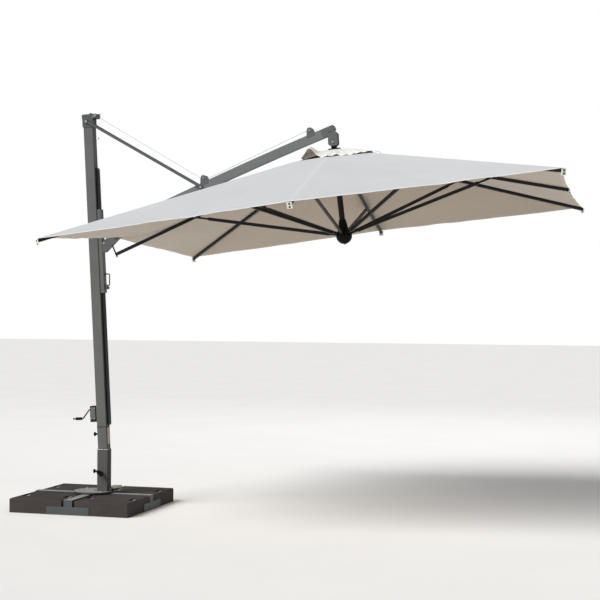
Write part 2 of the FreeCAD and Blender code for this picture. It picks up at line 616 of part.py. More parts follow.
def end_direction():
    centre, radius = boom_circle()
    out = (boom_ends()[1] - centre).normalize()
    return Vector(out.z, 0, -out.x), out


def boom_band(name, depth, width, start_x, end_x):
    """A slice of the arched boom between two x values, padded across y."""
    body = doc.addObject("PartDesign::Body", unique(name))
    sketch = body.newObject("Sketcher::SketchObject", unique(name + "_outline"))
    plane = next(f for f in body.Origin.OriginFeatures if f.Role == "XZ_Plane")
    sketch.AttachmentSupport = [(plane, "")]
    sketch.MapMode = "FlatFace"

    def flat(x, lift):
        point = on_boom(x, lift)
        return Vector(point.x, point.z, 0)

    middle = (start_x + end_x) / 2
    top = [flat(x, depth / 2) for x in (start_x, middle, end_x)]
    bottom = [flat(x, -depth / 2) for x in (start_x, middle, end_x)]
    sketch.addGeometry(Part.Arc(*top), False)
    sketch.addGeometry(Part.LineSegment(top[-1], bottom[-1]), False)
    sketch.addGeometry(Part.Arc(*bottom[::-1]), False)
    sketch.addGeometry(Part.LineSegment(bottom[0], top[0]), False)
    pad = body.newObject("PartDesign::Pad", unique(name + "_pad"))
    pad.Profile = sketch
    bind(pad, "Length", width)
    pad.Midplane = True
    return body


def make_boom():
    start, end = boom_ends()
    wall = size("boom_wall")
    outer = boom_band("boom_outer", size("boom_depth"), "boom_width", start.x + 14, end.x)
    inner = boom_band("boom_inner", size("boom_depth") - 2 * wall, "boom_width - 2 * boom_wall",
                      start.x - 20, end.x + 20)
    node("boom_profile", cut("boom_profile", outer, inner), MAST)

    hinge, deep = pivot(), size("boom_depth") / 2
    face = size("mast_side") / 2 + size("carriage_reach") + 1.5
    over, under = on_boom(start.x + 14, deep), on_boom(start.x + 14, -deep)
    slope = math.degrees(math.atan2(over.z - hinge.z, over.x - hinge.x))
    rise_x, rise_z = polar(16, slope + 90)
    outline_points = [(face, size("foot_low")), (face + 20, size("foot_low")), (under.x, under.z),
                      (over.x, over.z), (hinge.x + rise_x, hinge.z + rise_z), (face, hinge.z + 5)]
    foot = plate("foot_block", outline_points, "boom_width", {1: 6, 4: 10})
    clear = cross_rod("foot_slot", "17", "lug_width + 3", hinge.x, hinge.z)
    mouth = middle_box("foot_mouth", (hinge.x - face + 6, "lug_width + 3", 40), (face - 4, hinge.z - 17))
    bore = cross_rod("foot_bore", "boom_pin_radius + running_gap", "boom_width + 2", hinge.x, hinge.z)
    tongue = boom_band("foot_tongue", size("boom_depth") - 2 * wall - 1, "boom_width - 2 * boom_wall - 1",
                       start.x + 10, start.x + 120)
    node("boom_foot", fuse("boom_foot", cut("foot_bored", foot, clear, mouth, bore), tongue), MAST)

    along, out = end_direction()
    long, hang = size("casting_length"), Vector(size("hanger_x"), 0, size("hanger_z"))

    def corner(run, lift):
        point = end + along * run + out * lift
        return point.x, point.z

    lump = plate("casting_block", [corner(0, deep), corner(long, deep), corner(long, -8), corner(60, -8),
                                   corner(60, -deep), corner(0, -deep)], "boom_width", {1: 14, 2: 10, 4: 8})
    cheeks = []
    radius = size("hanger_radius")
    for sign in (-1, 1):
        cheeks.append(plate("hanger_cheek", [
            (hang.x - radius, hang.z + 30), (hang.x - radius, hang.z - 20), (hang.x - 24, hang.z - 34),
            (hang.x + 26, hang.z - 34), (hang.x + radius, hang.z - 20),
            (hang.x + radius, hang.z + 74), (hang.x + 14, hang.z + 104), (hang.x - 30, hang.z + 84)],
            "(boom_width - fork_gap) / 2", {1: 12, 2: 12, 3: 12, 4: 12, 5: 12, 6: 10},
            sign * (size("boom_width") + size("fork_gap")) / 4))
    plug = boom_band("casting_plug", size("boom_depth") - 2 * wall - 1, "boom_width - 2 * boom_wall - 1",
                     end.x - 90, end.x + 4)
    room = middle_box("tongue_room", (2 * radius + 10, "fork_gap", radius + 30), (hang.x - radius - 4, hang.z - radius))
    pin_bore = cross_rod("hanger_bore", 8, "boom_width + 4", hang.x, hang.z)
    casting = cut("boom_end_casting", fuse("casting_joined", lump, plug, *cheeks), room, pin_bore)
    node("boom_end_casting", casting, MAST)

    make_boom_trim(hang)


def pulley_centres():
    top = size("boom_depth") / 2
    return [on_boom(size(alias), top + size("pulley_lift")) for alias in ("mid_pulley_x", "end_pulley_x")]


def make_boom_trim(hang):
    brackets = []
    for spot in pulley_centres():
        for sign in (-1, 1):
            foot = on_boom(spot.x + 14, size("boom_depth") / 2 - 22)
            base_l, base_r = on_boom(spot.x - 24, size("boom_depth") / 2 - 20), on_boom(spot.x + 52, size("boom_depth") / 2 - 20)
            brackets.append(plate("pulley_cheek", [
                (base_l.x, base_l.z), (foot.x, foot.z), (base_r.x, base_r.z), (spot.x + 27, spot.z + 2),
                (spot.x + 16, spot.z + 25), (spot.x - 16, spot.z + 25), (spot.x - 27, spot.z - 2)],
                3, {3: 12, 4: 12, 5: 12, 6: 12}, sign * (size("boom_width") / 2 + 1.9)))
        for sign in (-1, 1):
            brackets.append(rod("pulley_spacer", 9, "boom_width / 2 - pulley_width / 2 - 1",
                                (spot.x, f"{sign} * (pulley_width / 2 + 1)", spot.z), Vector(0, sign, 0)))
    bores = [cross_rod("bracket_bore", 4, "boom_width + 10", spot.x, spot.z) for spot in pulley_centres()]
    node("pulley_brackets", cut("pulley_brackets", group("bracket_set", *brackets), *bores), MAST)

    joint = on_boom(size("rod_joint_x"))
    pins = [cross_rod("hanger_pin", 8, "boom_width + 8", hang.x, hang.z)]
    pins += [cross_rod("pulley_pin", 4, "boom_width + 8", spot.x, spot.z) for spot in pulley_centres()]
    for sign in (-1, 1):
        pins.append(rod("rod_boss", "eye_radius - 2", "rod_spread - rod_radius - 0.5 - boom_width / 2",
                        (joint.x, f"{sign} * boom_width / 2", joint.z), Vector(0, sign, 0)))
    node("boom_fasteners", group("boom_fasteners", *pins), MAST)
    for name, spot in zip(("mid_pulley", "end_pulley"), pulley_centres()):
        node(name, pulley(name, "pulley_radius", "groove_radius"), MAST * Placement(spot, Rotation()))


# ---------------------------------------------------------------- tie rods and rope
def make_rods():
    top, low = Vector(size("rod_top_x"), 0, size("rod_top_z")), on_boom(size("rod_joint_x"))
    length = (low - top).Length
    slope = math.degrees(math.atan2(low.z - top.z, low.x - top.x))
    bars = []
    for sign in (-1, 1):
        middle = f"{sign} * rod_spread"
        shaft = rod("tie_rod_bar", "rod_radius", length - 30, (15, middle, 0), ALONG)
        upper = rod("rod_eye", "eye_radius", "eye_width", (0, f"{middle} - eye_width / 2", 0), ACROSS)
        lower = rod("rod_foot", "eye_radius", "eye_width", (length, f"{middle} - eye_width / 2", 0), ACROSS)
        bolt = rod("rod_bolt", "trunnion_radius", 5, (length, f"{sign} * (rod_spread + eye_width / 2)", 0),
                   Vector(0, sign, 0))
        bore = rod("rod_eye_bore", "trunnion_radius + running_gap", "eye_width + 2",
                   (0, f"{middle} - eye_width / 2 - 1", 0), ACROSS)
        room = rod("rod_eye_room", "eye_radius + 1", 30, (0, f"{sign} * (rod_spread + eye_width / 2)", 0),
                   Vector(0, sign, 0))
        bars.append(cut("tie_rod", fuse("rod_joined", shaft, upper, lower, bolt), bore, room))
    node("tie_rods", group("tie_rods", *bars), MAST * Placement(top, Rotation(ACROSS, -slope)))


def inner_tangent(first, first_radius, second, second_radius, over_first):
    """The two ends of a taut rope that crosses from one pulley's side to the other's."""
    gap = second - first
    swing = math.asin((first_radius + second_radius) / gap.Length)
    turn = -swing if over_first else swing
    angle = math.atan2(gap.z, gap.x) + turn
    direction = Vector(math.cos(angle), 0, math.sin(angle))
    side = Vector(-direction.z, 0, direction.x) * (1 if over_first else -1)
    return first + side * first_radius, second - side * second_radius


def make_ropes():
    thick = size("rope_radius")
    head = Vector(size("head_pulley_x"), 0, size("head_pulley_z"))
    middle, last = pulley_centres()
    off = thick + size("rope_gap")
    over, small = size("head_groove") + off, size("groove_radius") + off
    leave_head, reach_mid = inner_tangent(head, over, middle, small, True)
    leave_mid, reach_end = inner_tangent(middle, small, last, small, False)

    def meeting(point, direction, other, other_direction):
        cross = direction.x * other_direction.z - direction.z * other_direction.x
        gap = other - point
        return point + direction * ((gap.x * other_direction.z - gap.z * other_direction.x) / cross)

    down_slope = (reach_mid - leave_head).normalize()
    up_slope = (reach_end - leave_mid).normalize()
    drum_top = size("crank_height") - size("drum_drop") + size("drum_radius") + thick
    inside = head.x - over
    turn_head = meeting(Vector(inside, 0, 0), UP, leave_head, down_slope)
    rise = bar("rope_rise", [Vector(-size("mast_side") / 2 - size("winch_depth") / 2, 0, drum_top),
                             Vector(inside, 0, drum_top), Vector(inside, 0, head.z - 60)], thick, 30)
    hook = bar("rope_over_head", [Vector(inside, 0, head.z - 60), turn_head, leave_head], thick, over)
    node("rope_mast_span", fuse("rope_mast_span", rise, hook), MAST)
    node("rope_rod_span", bar("rope_rod_span", [leave_head, reach_mid], thick, 0), MAST)
    turn_mid = meeting(reach_mid, down_slope, leave_mid, up_slope)
    drop = Vector(last.x + small, 0, 0)
    turn_end = meeting(drop, UP, reach_end, up_slope)
    landing = Vector(drop.x, 0, on_boom(drop.x, size("boom_depth") / 2 + 2 * thick).z)
    first = bar("rope_under_mid", [reach_mid, turn_mid, (leave_mid + reach_end) / 2], thick, small)
    second = bar("rope_over_end", [(leave_mid + reach_end) / 2, turn_end, landing], thick, small)
    node("rope_boom_span", fuse("rope_boom_span", first, second), MAST)


# ---------------------------------------------------------------- canopy
def reach(index):
    """Horizontal reach of a rib tip from the pole, by its place round the pole."""
    half = size("canopy_half")
    mids = {0: half - size("hem_in_x"), 2: half - size("hem_in_y"),
            4: half + size("mast_rib_extra"), 6: half - size("hem_in_y")}
    return mids.get(index, half * math.sqrt(2))


def slope_of(index):
    return size("corner_slope") if index % 2 else size("mid_slope")


def azimuth(index):
    return 45.0 * index


def joint_drop(index):
    run = size("joint_radius") - size("crown_radius")
    return size("crown_drop") + run * math.tan(math.radians(slope_of(index)))


def strut_slope(index):
    run = size("joint_radius") - size("crown_radius")
    return math.degrees(math.atan2(size("hub_drop") - joint_drop(index), run))


def rib_frame(index):
    hinge = turned(UP, azimuth(index)) * moved(size("crown_radius"), 0, -size("crown_drop"))
    return CANOPY * hinge * turned(ACROSS, slope_of(index))


def strut_frame(index):
    joint = turned(UP, azimuth(index)) * moved(size("joint_radius"), 0, -joint_drop(index))
    return CANOPY * joint * turned(ACROSS, 180 - strut_slope(index))


def make_rib(index):
    name = f"rib_{index + 1}"
    slope = math.cos(math.radians(slope_of(index)))
    length = (reach(index) - size("crown_radius")) / slope
    joint = (size("joint_radius") - size("crown_radius")) / slope
    outer = middle_box(name + "_outer", (length - size("rib_root"), "rib_width", "rib_depth"),
                       ("rib_root", "-rib_depth / 2"))
    inner = middle_box(name + "_inner", (length, "rib_width - 2 * rib_wall", "rib_depth - 2 * rib_wall"),
                       ("rib_root - 1", "-rib_depth / 2 + rib_wall"))
    hole = cross_rod(name + "_hole", "strut_pin + running_gap", "rib_width + 2", joint, 0)
    ears = []
    for sign in (-1, 1):
        low = f"{sign} * (rib_width / 2 - ear_gauge / 2) - ear_gauge / 2"
        ears.append(box(name + "_ear", ("rib_root + 16", "ear_gauge", 18), (0, low, -9)))
        ears.append(rod(name + "_eye", 9, "ear_gauge", (0, low, 0), ACROSS))
    pin = cross_rod(name + "_pin", "rib_pin", "rib_width", 0, 0)
    tube_part = cut(name + "_tube", outer, inner, hole)
    node(name, fuse(name, tube_part, pin, *ears), rib_frame(index))


def make_strut(index):
    name = f"strut_{index + 1}"
    length = (size("joint_radius") - size("crown_radius")) / math.cos(math.radians(strut_slope(index)))
    gap = "(rib_width / 2 + ear_gap)"
    parts = []
    for sign in (-1, 1):
        low = f"{sign} * ({gap} + fork_plate / 2) - fork_plate / 2"
        parts.append(box(name + "_cheek", ("fork_length", "fork_plate", "strut_depth"), (0, low, "-strut_depth / 2")))
        parts.append(rod(name + "_cheek_eye", "strut_depth / 2", "fork_plate", (0, low, 0), ACROSS))
    parts.append(cross_rod(name + "_pin", "strut_pin", f"2 * ({gap} + fork_plate)", 0, 0))
    parts.append(middle_box(name + "_bridge", (16, f"2 * ({gap} + fork_plate)", "strut_depth"),
                            ("fork_length - 2", "-strut_depth / 2")))
    parts.append(middle_box(name + "_bar", (length - size("fork_length") - 50, "strut_width", "strut_depth"),
                            ("fork_length + 4", "-strut_depth / 2")))
    parts.append(middle_box(name + "_tongue", (60, "hub_tongue", "strut_depth"), (length - 60, "-strut_depth / 2")))
    parts.append(cross_rod(name + "_tongue_eye", "strut_depth / 2", "hub_tongue", length, 0))
    node(name, fuse(name, *parts), strut_frame(index))


def make_crown():
    core = rod("crown_core", 36, 42, (0, 0, "-crown_drop - 24"))
    flange = rod("crown_flange", 58, 6, (0, 0, 4))
    neck = rod("crown_neck", 22, 19, (0, 0, -13))
    plate_low = rod("crown_plate", 64, 4, (0, 0, -15))
    lugs = []
    for index in range(8):
        lug = middle_box("crown_lug", ("crown_radius - 28", "lug_gauge", 17), (28, "-crown_drop - 8.5"))
        eye = cross_rod("crown_eye", 8.5, "lug_gauge", "crown_radius", "-crown_drop")
        bore = cross_rod("crown_bore", "rib_pin + running_gap", "lug_gauge + 2", "crown_radius", "-crown_drop")
        lugs.append(at(cut("crown_lug_bored", fuse("crown_lug_round", lug, eye), bore), turned(UP, azimuth(index))))
    node("crown", fuse("crown", core, flange, neck, plate_low, *lugs), CANOPY)

    tongue = middle_box("pole_tongue", (46, "fork_gap - 4", "apex_drop - 10"), (-23, 10))
    eye = cross_rod("pole_eye", 23, "fork_gap - 4", 0, "apex_drop")
    bore = cross_rod("pole_eye_bore", "8 + running_gap", "fork_gap", 0, "apex_drop")
    node("pole_head", cut("pole_head", fuse("pole_head_joined", tongue, eye), bore), CANOPY)

    outer = rod("pole_outer", "pole_radius", "pole_low - crown_drop - 24", (0, 0, "-pole_low"))
    inner = rod("pole_inner", "pole_radius - pole_wall", "pole_low - crown_drop - 40", (0, 0, "-pole_low - 1"))
    node("centre_pole", cut("centre_pole", outer, inner), CANOPY)

    make_collar()


def revolved(name, pieces):
    """A body turned about the pole's axis from closed sketch pieces in the XZ plane."""
    body = doc.addObject("PartDesign::Body", unique(name))
    sketch = body.newObject("Sketcher::SketchObject", unique(name + "_outline"))
    plane = next(f for f in body.Origin.OriginFeatures if f.Role == "XZ_Plane")
    sketch.AttachmentSupport = [(plane, "")]
    sketch.MapMode = "FlatFace"
    for piece in pieces:
        sketch.addGeometry(piece, False)
    turn = body.newObject("PartDesign::Revolution", unique(name + "_turn"))
    turn.Profile = sketch
    turn.ReferenceAxis = (sketch, ["V_Axis"])
    turn.Angle = 360.0
    return body


def on_ball(radius, height):
    """The point of a ball round the strut ends at a height above the ball's middle, as sketch x and y."""
    return Vector(math.sqrt(radius ** 2 - height ** 2), height - size("hub_drop") - size("ball_sink"), 0)


def make_collar():
    """A bell under the pole whose lower part is the upper half of the hub's ball, slotted for the struts."""
    ball, pole = size("hub_radius"), size("pole_radius")
    inner = ball - size("ball_shell")
    top = Vector(pole, size("collar_length") - size("pole_low"), 0)
    meet = on_ball(ball, math.sqrt(ball ** 2 - size("collar_radius") ** 2))
    rim, inner_rim = on_ball(ball, size("ball_gap")), on_ball(inner, size("ball_gap"))
    roof = on_ball(inner, math.sqrt(inner ** 2 - pole ** 2))
    outer_side = on_ball(ball, (meet.y - rim.y) / 2)
    inner_side = on_ball(inner, (roof.y - rim.y) / 2)
    shell = revolved("collar_bell", [
        Part.LineSegment(top, Vector(pole + 5, top.y, 0)), Part.LineSegment(Vector(pole + 5, top.y, 0), meet),
        Part.Arc(meet, outer_side, rim), Part.LineSegment(rim, inner_rim), Part.Arc(inner_rim, inner_side, roof),
        Part.LineSegment(roof, top)])
    slots = []
    for index in range(8):
        slot = middle_box("collar_slot", ("hub_radius", "hub_tongue + 4", "strut_depth + 20"),
                          (34, "-hub_drop - ball_sink - 2"))
        slots.append(at(group("collar_slot_placed", slot), turned(UP, azimuth(index))))
    node("pole_collar", cut("pole_collar", shell, *slots), CANOPY)


def make_hub():
    """The ball's lower half with its point, and the post that centres it in the pole."""
    ball = size("hub_radius")
    rim, low = on_ball(ball, 0), on_ball(ball, -math.sqrt(ball ** 2 - 100))
    side = on_ball(ball, -ball / math.sqrt(2))
    middle, tip = Vector(0, rim.y, 0), Vector(0, low.y - 9, 0)
    body = revolved("hub_cup", [Part.LineSegment(middle, rim), Part.Arc(rim, side, low),
                                Part.LineSegment(low, tip), Part.LineSegment(tip, middle)])
    post_ = rod("hub_post", 8, "hub_drop + ball_sink - pole_low + 30", (0, 0, "-hub_drop - ball_sink"))
    node("hub", fuse("hub", body, post_), CANOPY)


def fabric(name, inner, outer, gauge):
    """A closed thin sheet between an inner ring of 8 points and an outer ring of 16."""
    down = Vector(0, 0, -gauge)
    count = len(inner)
    faces = []

    def face(*points):
        faces.append(Part.Face(Part.makePolygon(list(points) + [points[0]])))

    for i in range(count):
        following = (i + 1) % count
        a, b = inner[i], inner[following]
        tip, hem, next_tip = outer[2 * i], outer[2 * i + 1], outer[(2 * i + 2) % (2 * count)]
        for triangle in ((a, tip, hem), (a, hem, b), (b, hem, next_tip)):
            face(*triangle)
            face(*[p + down for p in reversed(triangle)])
        face(a, b, b + down, a + down)
        for near, far in ((tip, hem), (hem, next_tip)):
            face(near, near + down, far + down, far)
    obj = doc.addObject("Part::Feature", unique(name))
    obj.Shape = Part.makeSolid(Part.makeShell(faces))
    return obj


def above_rib(index, radius, lift):
    """A point of the fabric over a rib, at a horizontal radius."""
    slope = math.radians(slope_of(index))
    drop = size("crown_drop") + (radius - size("crown_radius")) * math.tan(slope)
    rise = (size("rib_depth") / 2 + lift) / math.cos(slope)
    x, y = polar(radius, azimuth(index))
    return Vector(x, y, rise - drop)


def square_radius(index, half):
    return half * (math.sqrt(2) if index % 2 else 1.0)


def make_fabric():
    gauge, lift = size("fabric_gauge"), size("fabric_lift")
    inner = [above_rib(i, square_radius(i, size("vent_half")), lift) for i in range(8)]
    tips = [above_rib(i, reach(i), lift) for i in range(8)]
    outer = []
    for i in range(8):
        middle = (tips[i] + tips[(i + 1) % 8]) / 2
        pull = Vector(-middle.x, -middle.y, 0).normalize() * size("hem_pull")
        outer += [tips[i], middle + pull]
    node("canopy", fabric("canopy", inner, outer, gauge), CANOPY)

    lifted = lift + size("cap_lift")
    ring = [Vector(*polar(30, azimuth(i)), 2) for i in range(8)]
    edge = []
    for i in range(8):
        here = above_rib(i, square_radius(i, size("cap_half")), lifted)
        there = above_rib((i + 1) % 8, square_radius((i + 1) % 8, size("cap_half")), lifted)
        edge += [here, (here + there) / 2]
    node("vent_cap", fabric("vent_cap", ring, edge, gauge), CANOPY)


# ---------------------------------------------------------------- assembly
def make_all():
    make_base()
    make_turntable()
    clamp = size("mast_side") / 2 + 0.3
    make_knob("stub_knob_back", moved(size("stub_offset") - clamp, 0, size("stub_knob_height")))
    make_knob("stub_knob_front", moved(size("stub_offset"), -clamp, size("front_knob_height")) * turned(UP, 90), 1.15)
    make_mast()
    make_knob("insert_knob", MAST * moved(-size("mast_side") / 2 + 10, 0, size("insert_knob_height")))
    make_mast_head()
    make_winch()
    make_carriage()
    make_boom()
    make_rods()
    make_ropes()
    make_crown()
    make_hub()
    for index in range(8):
        make_rib(index)
        make_strut(index)
    make_fabric()


def check_and_write():
    """Refuse a failed feature or a bad solid before any file is written."""
    doc.recompute()
    failed = [o.Name for o in doc.Objects if "Invalid" in o.State or "Error" in o.State]
    if failed:
        raise RuntimeError(f"features failed: {failed}")
    for obj in NODES:
        if obj.Shape.isNull() or not obj.Shape.isValid() or not obj.Shape.Solids:
            raise RuntimeError(f"{obj.Label} has no valid solid")
    os.makedirs("parts", exist_ok=True)
    for obj in NODES:
        obj.Shape.exportStep(f"parts/{obj.Label}.step")
        box_ = obj.Shape.BoundBox
        print(f"{obj.Label:18s} solids {len(obj.Shape.Solids):2d} volume {obj.Shape.Volume / 1000:10.1f} cm3"
              f"  x {box_.XMin:8.1f} {box_.XMax:8.1f}  y {box_.YMin:8.1f} {box_.YMax:8.1f}"
              f"  z {box_.ZMin:8.1f} {box_.ZMax:8.1f}")
    print(len(NODES), "sub-parts")


make_all()
check_and_write()
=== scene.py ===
# %% [markdown]
# # A cantilever patio umbrella
# The frame of this umbrella is already modelled as solid parts. This lesson loads it, gives every part
# a finish, and makes what a solid modeller can't: the cloth, its hems and seams, and the small fittings
# that are sewn and screwed to it. Lengths are in metres, Z is up, and the origin is on the floor under
# the turntable.

# %% Load the frame
import bmesh
import bpy
import json
import math
from mathutils import Matrix, Vector, noise


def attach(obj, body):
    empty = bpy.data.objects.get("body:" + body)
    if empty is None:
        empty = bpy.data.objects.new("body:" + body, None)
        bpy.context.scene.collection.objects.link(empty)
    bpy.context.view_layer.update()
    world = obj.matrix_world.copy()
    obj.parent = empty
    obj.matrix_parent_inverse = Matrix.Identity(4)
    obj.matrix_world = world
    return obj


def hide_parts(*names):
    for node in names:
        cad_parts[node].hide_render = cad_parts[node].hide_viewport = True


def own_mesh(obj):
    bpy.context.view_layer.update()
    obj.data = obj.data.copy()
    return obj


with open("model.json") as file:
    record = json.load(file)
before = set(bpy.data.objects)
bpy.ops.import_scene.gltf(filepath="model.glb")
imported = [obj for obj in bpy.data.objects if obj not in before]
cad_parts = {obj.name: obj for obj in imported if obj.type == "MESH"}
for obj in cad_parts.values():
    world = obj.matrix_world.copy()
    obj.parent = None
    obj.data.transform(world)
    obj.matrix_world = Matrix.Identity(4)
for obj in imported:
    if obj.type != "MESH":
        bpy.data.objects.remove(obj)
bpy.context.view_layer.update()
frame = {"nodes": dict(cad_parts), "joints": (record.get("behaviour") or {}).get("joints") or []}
NODES = frame["nodes"]
JOINTS = {joint["name"]: joint for joint in frame["joints"]}
print(len(NODES), "parts and", len(JOINTS), "joints loaded")

# %% [markdown]
# The mast leans and the canopy hangs at an angle of its own, so it is easier to think in two local
# frames. Both can be read from the joints: the carriage slides along the mast, and the ribs' hinge axes
# lie in the canopy's flat plane.

# %% Local frames from the joints
def joint_place(name):
    return Vector(JOINTS[name]["pos_m"])


def joint_axis(name):
    return Vector(JOINTS[name]["axis"]).normalized()


def local_frame(origin, along_x, along_z):
    """A matrix from local coordinates to the row's."""
    side = along_z.cross(along_x)
    turn = Matrix((along_x, side, along_z)).transposed().to_4x4()
    return Matrix.Translation(origin) @ turn


MAST_UP = joint_axis("slider_travel")
MAST_OUT = Vector((MAST_UP.z, 0, -MAST_UP.x))
STUB_OFFSET, STUB_TOP = 0.0976, 0.528
MAST = local_frame(Vector((STUB_OFFSET, 0, STUB_TOP)), MAST_OUT, MAST_UP)
CANOPY_X = -joint_axis("rib_3_hinge")
CANOPY_UP = CANOPY_X.cross(joint_axis("rib_1_hinge"))
TILT_PIN = joint_place("canopy_tilt")
APEX_DROP = 0.0676
CANOPY = local_frame(TILT_PIN - CANOPY_UP * APEX_DROP, CANOPY_X, CANOPY_UP)
print("canopy apex at", [round(c, 3) for c in CANOPY.translation])

# %% [markdown]
# A finish is more than a colour. Powder coat has a faint orange peel, cast parts are pitted, anodised
# bars show drawing lines. Every finish below starts from the same small helper, which makes a Principled
# shader and hands back a few tools to add noise, mix colours and drive the bump.

# %% A small workbench for finishes
class Finish:
    """Builds one material node by node on Object coordinates."""

    def __init__(self, name, roughness=0.5, metallic=0.0, sheen=0.0, specular=0.5):
        self.material = bpy.data.materials.new(name)
        self.material.use_nodes = True
        self.tree = self.material.node_tree
        self.tree.nodes.clear()
        self.shader = self.add("ShaderNodeBsdfPrincipled")
        self.shader.inputs["Roughness"].default_value = roughness
        self.shader.inputs["Metallic"].default_value = metallic
        self.shader.inputs["Specular IOR Level"].default_value = specular
        self.shader.inputs["Sheen Weight"].default_value = sheen
        output = self.add("ShaderNodeOutputMaterial")
        self.link(self.shader.outputs["BSDF"], output.inputs["Surface"])
        self.place = self.add("ShaderNodeTexCoord").outputs["Object"]

    def add(self, kind):
        return self.tree.nodes.new(kind)

    def link(self, source, target):
        self.tree.links.new(source, target)

    def stretched(self, scale, source=None):
        """Object coordinates scaled by different amounts, for grain that runs one way."""
        mapping = self.add("ShaderNodeMapping")
        mapping.inputs["Scale"].default_value = scale
        self.link(source or self.place, mapping.inputs["Vector"])
        return mapping.outputs["Vector"]

    def noise(self, scale, detail=4.0, source=None, roughness=0.55):
        node = self.add("ShaderNodeTexNoise")
        node.inputs["Scale"].default_value = scale
        node.inputs["Detail"].default_value = detail
        node.inputs["Roughness"].default_value = roughness
        self.link(source or self.place, node.inputs["Vector"])
        return node.outputs["Fac"]

    def ramp(self, source, low, high, start=(0, 0, 0, 1), end=(1, 1, 1, 1)):
        node = self.add("ShaderNodeValToRGB")
        node.color_ramp.elements[0].position = low
        node.color_ramp.elements[0].color = start
        node.color_ramp.elements[1].position = high
        node.color_ramp.elements[1].color = end
        self.link(source, node.inputs["Fac"])
        return node.outputs["Color"]

    def maths(self, operation, first, second=0.0, third=None):
        node = self.add("ShaderNodeMath")
        node.operation = operation
        for socket, value in zip(node.inputs, (first, second, third)):
            if value is None:
                continue
            if isinstance(value, (int, float)):
                socket.default_value = value
            else:
                self.link(value, socket)
        return node.outputs["Value"]

    def mix(self, factor, first, second):
        node = self.add("ShaderNodeMix")
        node.data_type = "RGBA"
        self.put(node.inputs["Factor"], factor)
        self.put(node.inputs["A"], first)
        self.put(node.inputs["B"], second)
        return node.outputs["Result"]

    def put(self, socket, value):
        if isinstance(value, (int, float)):
            socket.default_value = value
        elif isinstance(value, (tuple, list)):
            socket.default_value = (*value, 1) if len(value) == 3 else value
        else:
            self.link(value, socket)

    def colour(self, value):
        self.put(self.shader.inputs["Base Color"], value)

    def rough(self, source, low, high):
        node = self.add("ShaderNodeMapRange")
        node.inputs["To Min"].default_value = low
        node.inputs["To Max"].default_value = high
        self.link(source, node.inputs["Value"])
        self.link(node.outputs["Result"], self.shader.inputs["Roughness"])

    def bump(self, height, strength, distance):
        node = self.add("ShaderNodeBump")
        node.inputs["Strength"].default_value = strength
        node.inputs["Distance"].default_value = distance
        self.link(height, node.inputs["Height"])
        previous = self.shader.inputs["Normal"]
        if previous.is_linked:
            self.link(previous.links[0].from_socket, node.inputs["Normal"])
        self.link(node.outputs["Normal"], previous)


def tone(value, factor):
    """A colour made lighter or darker."""
    return tuple(min(1.0, channel * factor) for channel in value)


print("workbench ready")

# %% [markdown]
# **Powder coat** covers the base, the mast and most castings. Its peel is about a millimetre across, its
# gloss wanders a little, and rain and hands leave broad faint patches and a few pale specks.

# %% Powder coat
def powder_coat(name, colour, roughness=0.42, dust_and_lit_top=0.0, pitting=0.0, specular=0.35):
    f = Finish(name, roughness, specular=specular)
    patches = f.noise(2.6, 3.0)
    body = f.mix(f.ramp(patches, 0.35, 0.7), tone(colour, 0.92), tone(colour, 1.1))
    specks = f.ramp(f.noise(520.0, 2.0), 0.66, 0.74)
    body = f.mix(f.maths("MULTIPLY", specks, 0.22), body, tone(colour, 1.7))
    # Upward faces turn pale grey: on the base this is dust, on the pedal it is a painted highlight on its
    # lit top.
    if dust_and_lit_top:
        facing = f.add("ShaderNodeNewGeometry").outputs["Normal"]
        split = f.add("ShaderNodeSeparateXYZ")
        f.link(facing, split.inputs["Vector"])
        lying = f.ramp(split.outputs["Z"], 0.55, 0.98)
        pale_top_mask = f.maths("MULTIPLY", lying, f.maths("MULTIPLY_ADD", f.noise(14.0, 6.0), 0.7, 0.45))
        body = f.mix(f.maths("MULTIPLY", pale_top_mask, dust_and_lit_top), body, (0.62, 0.62, 0.6))
    f.colour(body)
    f.rough(f.noise(30.0, 5.0), roughness - 0.07, roughness + 0.1)
    f.bump(f.noise(900.0, 1.5), 0.12, 0.0004)
    if pitting:
        f.bump(f.noise(240.0, 5.0), pitting, 0.0008)
    return f.material


POWDER = {
    "base": powder_coat("base_powder_coat", (0.062, 0.072, 0.076), 0.45, dust_and_lit_top=0.5),
    "stub": powder_coat("stub_powder_coat", (0.1, 0.098, 0.096), 0.65, specular=0.03),
    "mast": powder_coat("mast_powder_coat", (0.118, 0.12, 0.121), 0.55, specular=0.12),
    "head": powder_coat("mast_head_coat", (0.085, 0.088, 0.088), 0.5, pitting=0.1, specular=0.2),
    "carriage": powder_coat("carriage_coat", (0.115, 0.117, 0.115), 0.36),
    # The pedal's pale top is a painted highlight.
    "pedal": powder_coat("pedal_coat", (0.2, 0.18, 0.125), 0.5, dust_and_lit_top=0.5),
    "winch": powder_coat("winch_coat", (0.01, 0.01, 0.011), 0.45, specular=0.25),
    "panel": powder_coat("winch_panel_coat", (0.12, 0.12, 0.118), 0.4),
    "crank": powder_coat("crank_coat", (0.014, 0.014, 0.015), 0.4, specular=0.3),
    "casting": powder_coat("casting_coat", (0.1, 0.105, 0.104), 0.5, pitting=0.35, specular=0.2),
    "black": powder_coat("black_coat", (0.008, 0.008, 0.009), 0.5, specular=0.2),
    "bracket": powder_coat("bracket_coat", (0.1, 0.104, 0.103), 0.4),
}
print(len(POWDER), "powder coats")
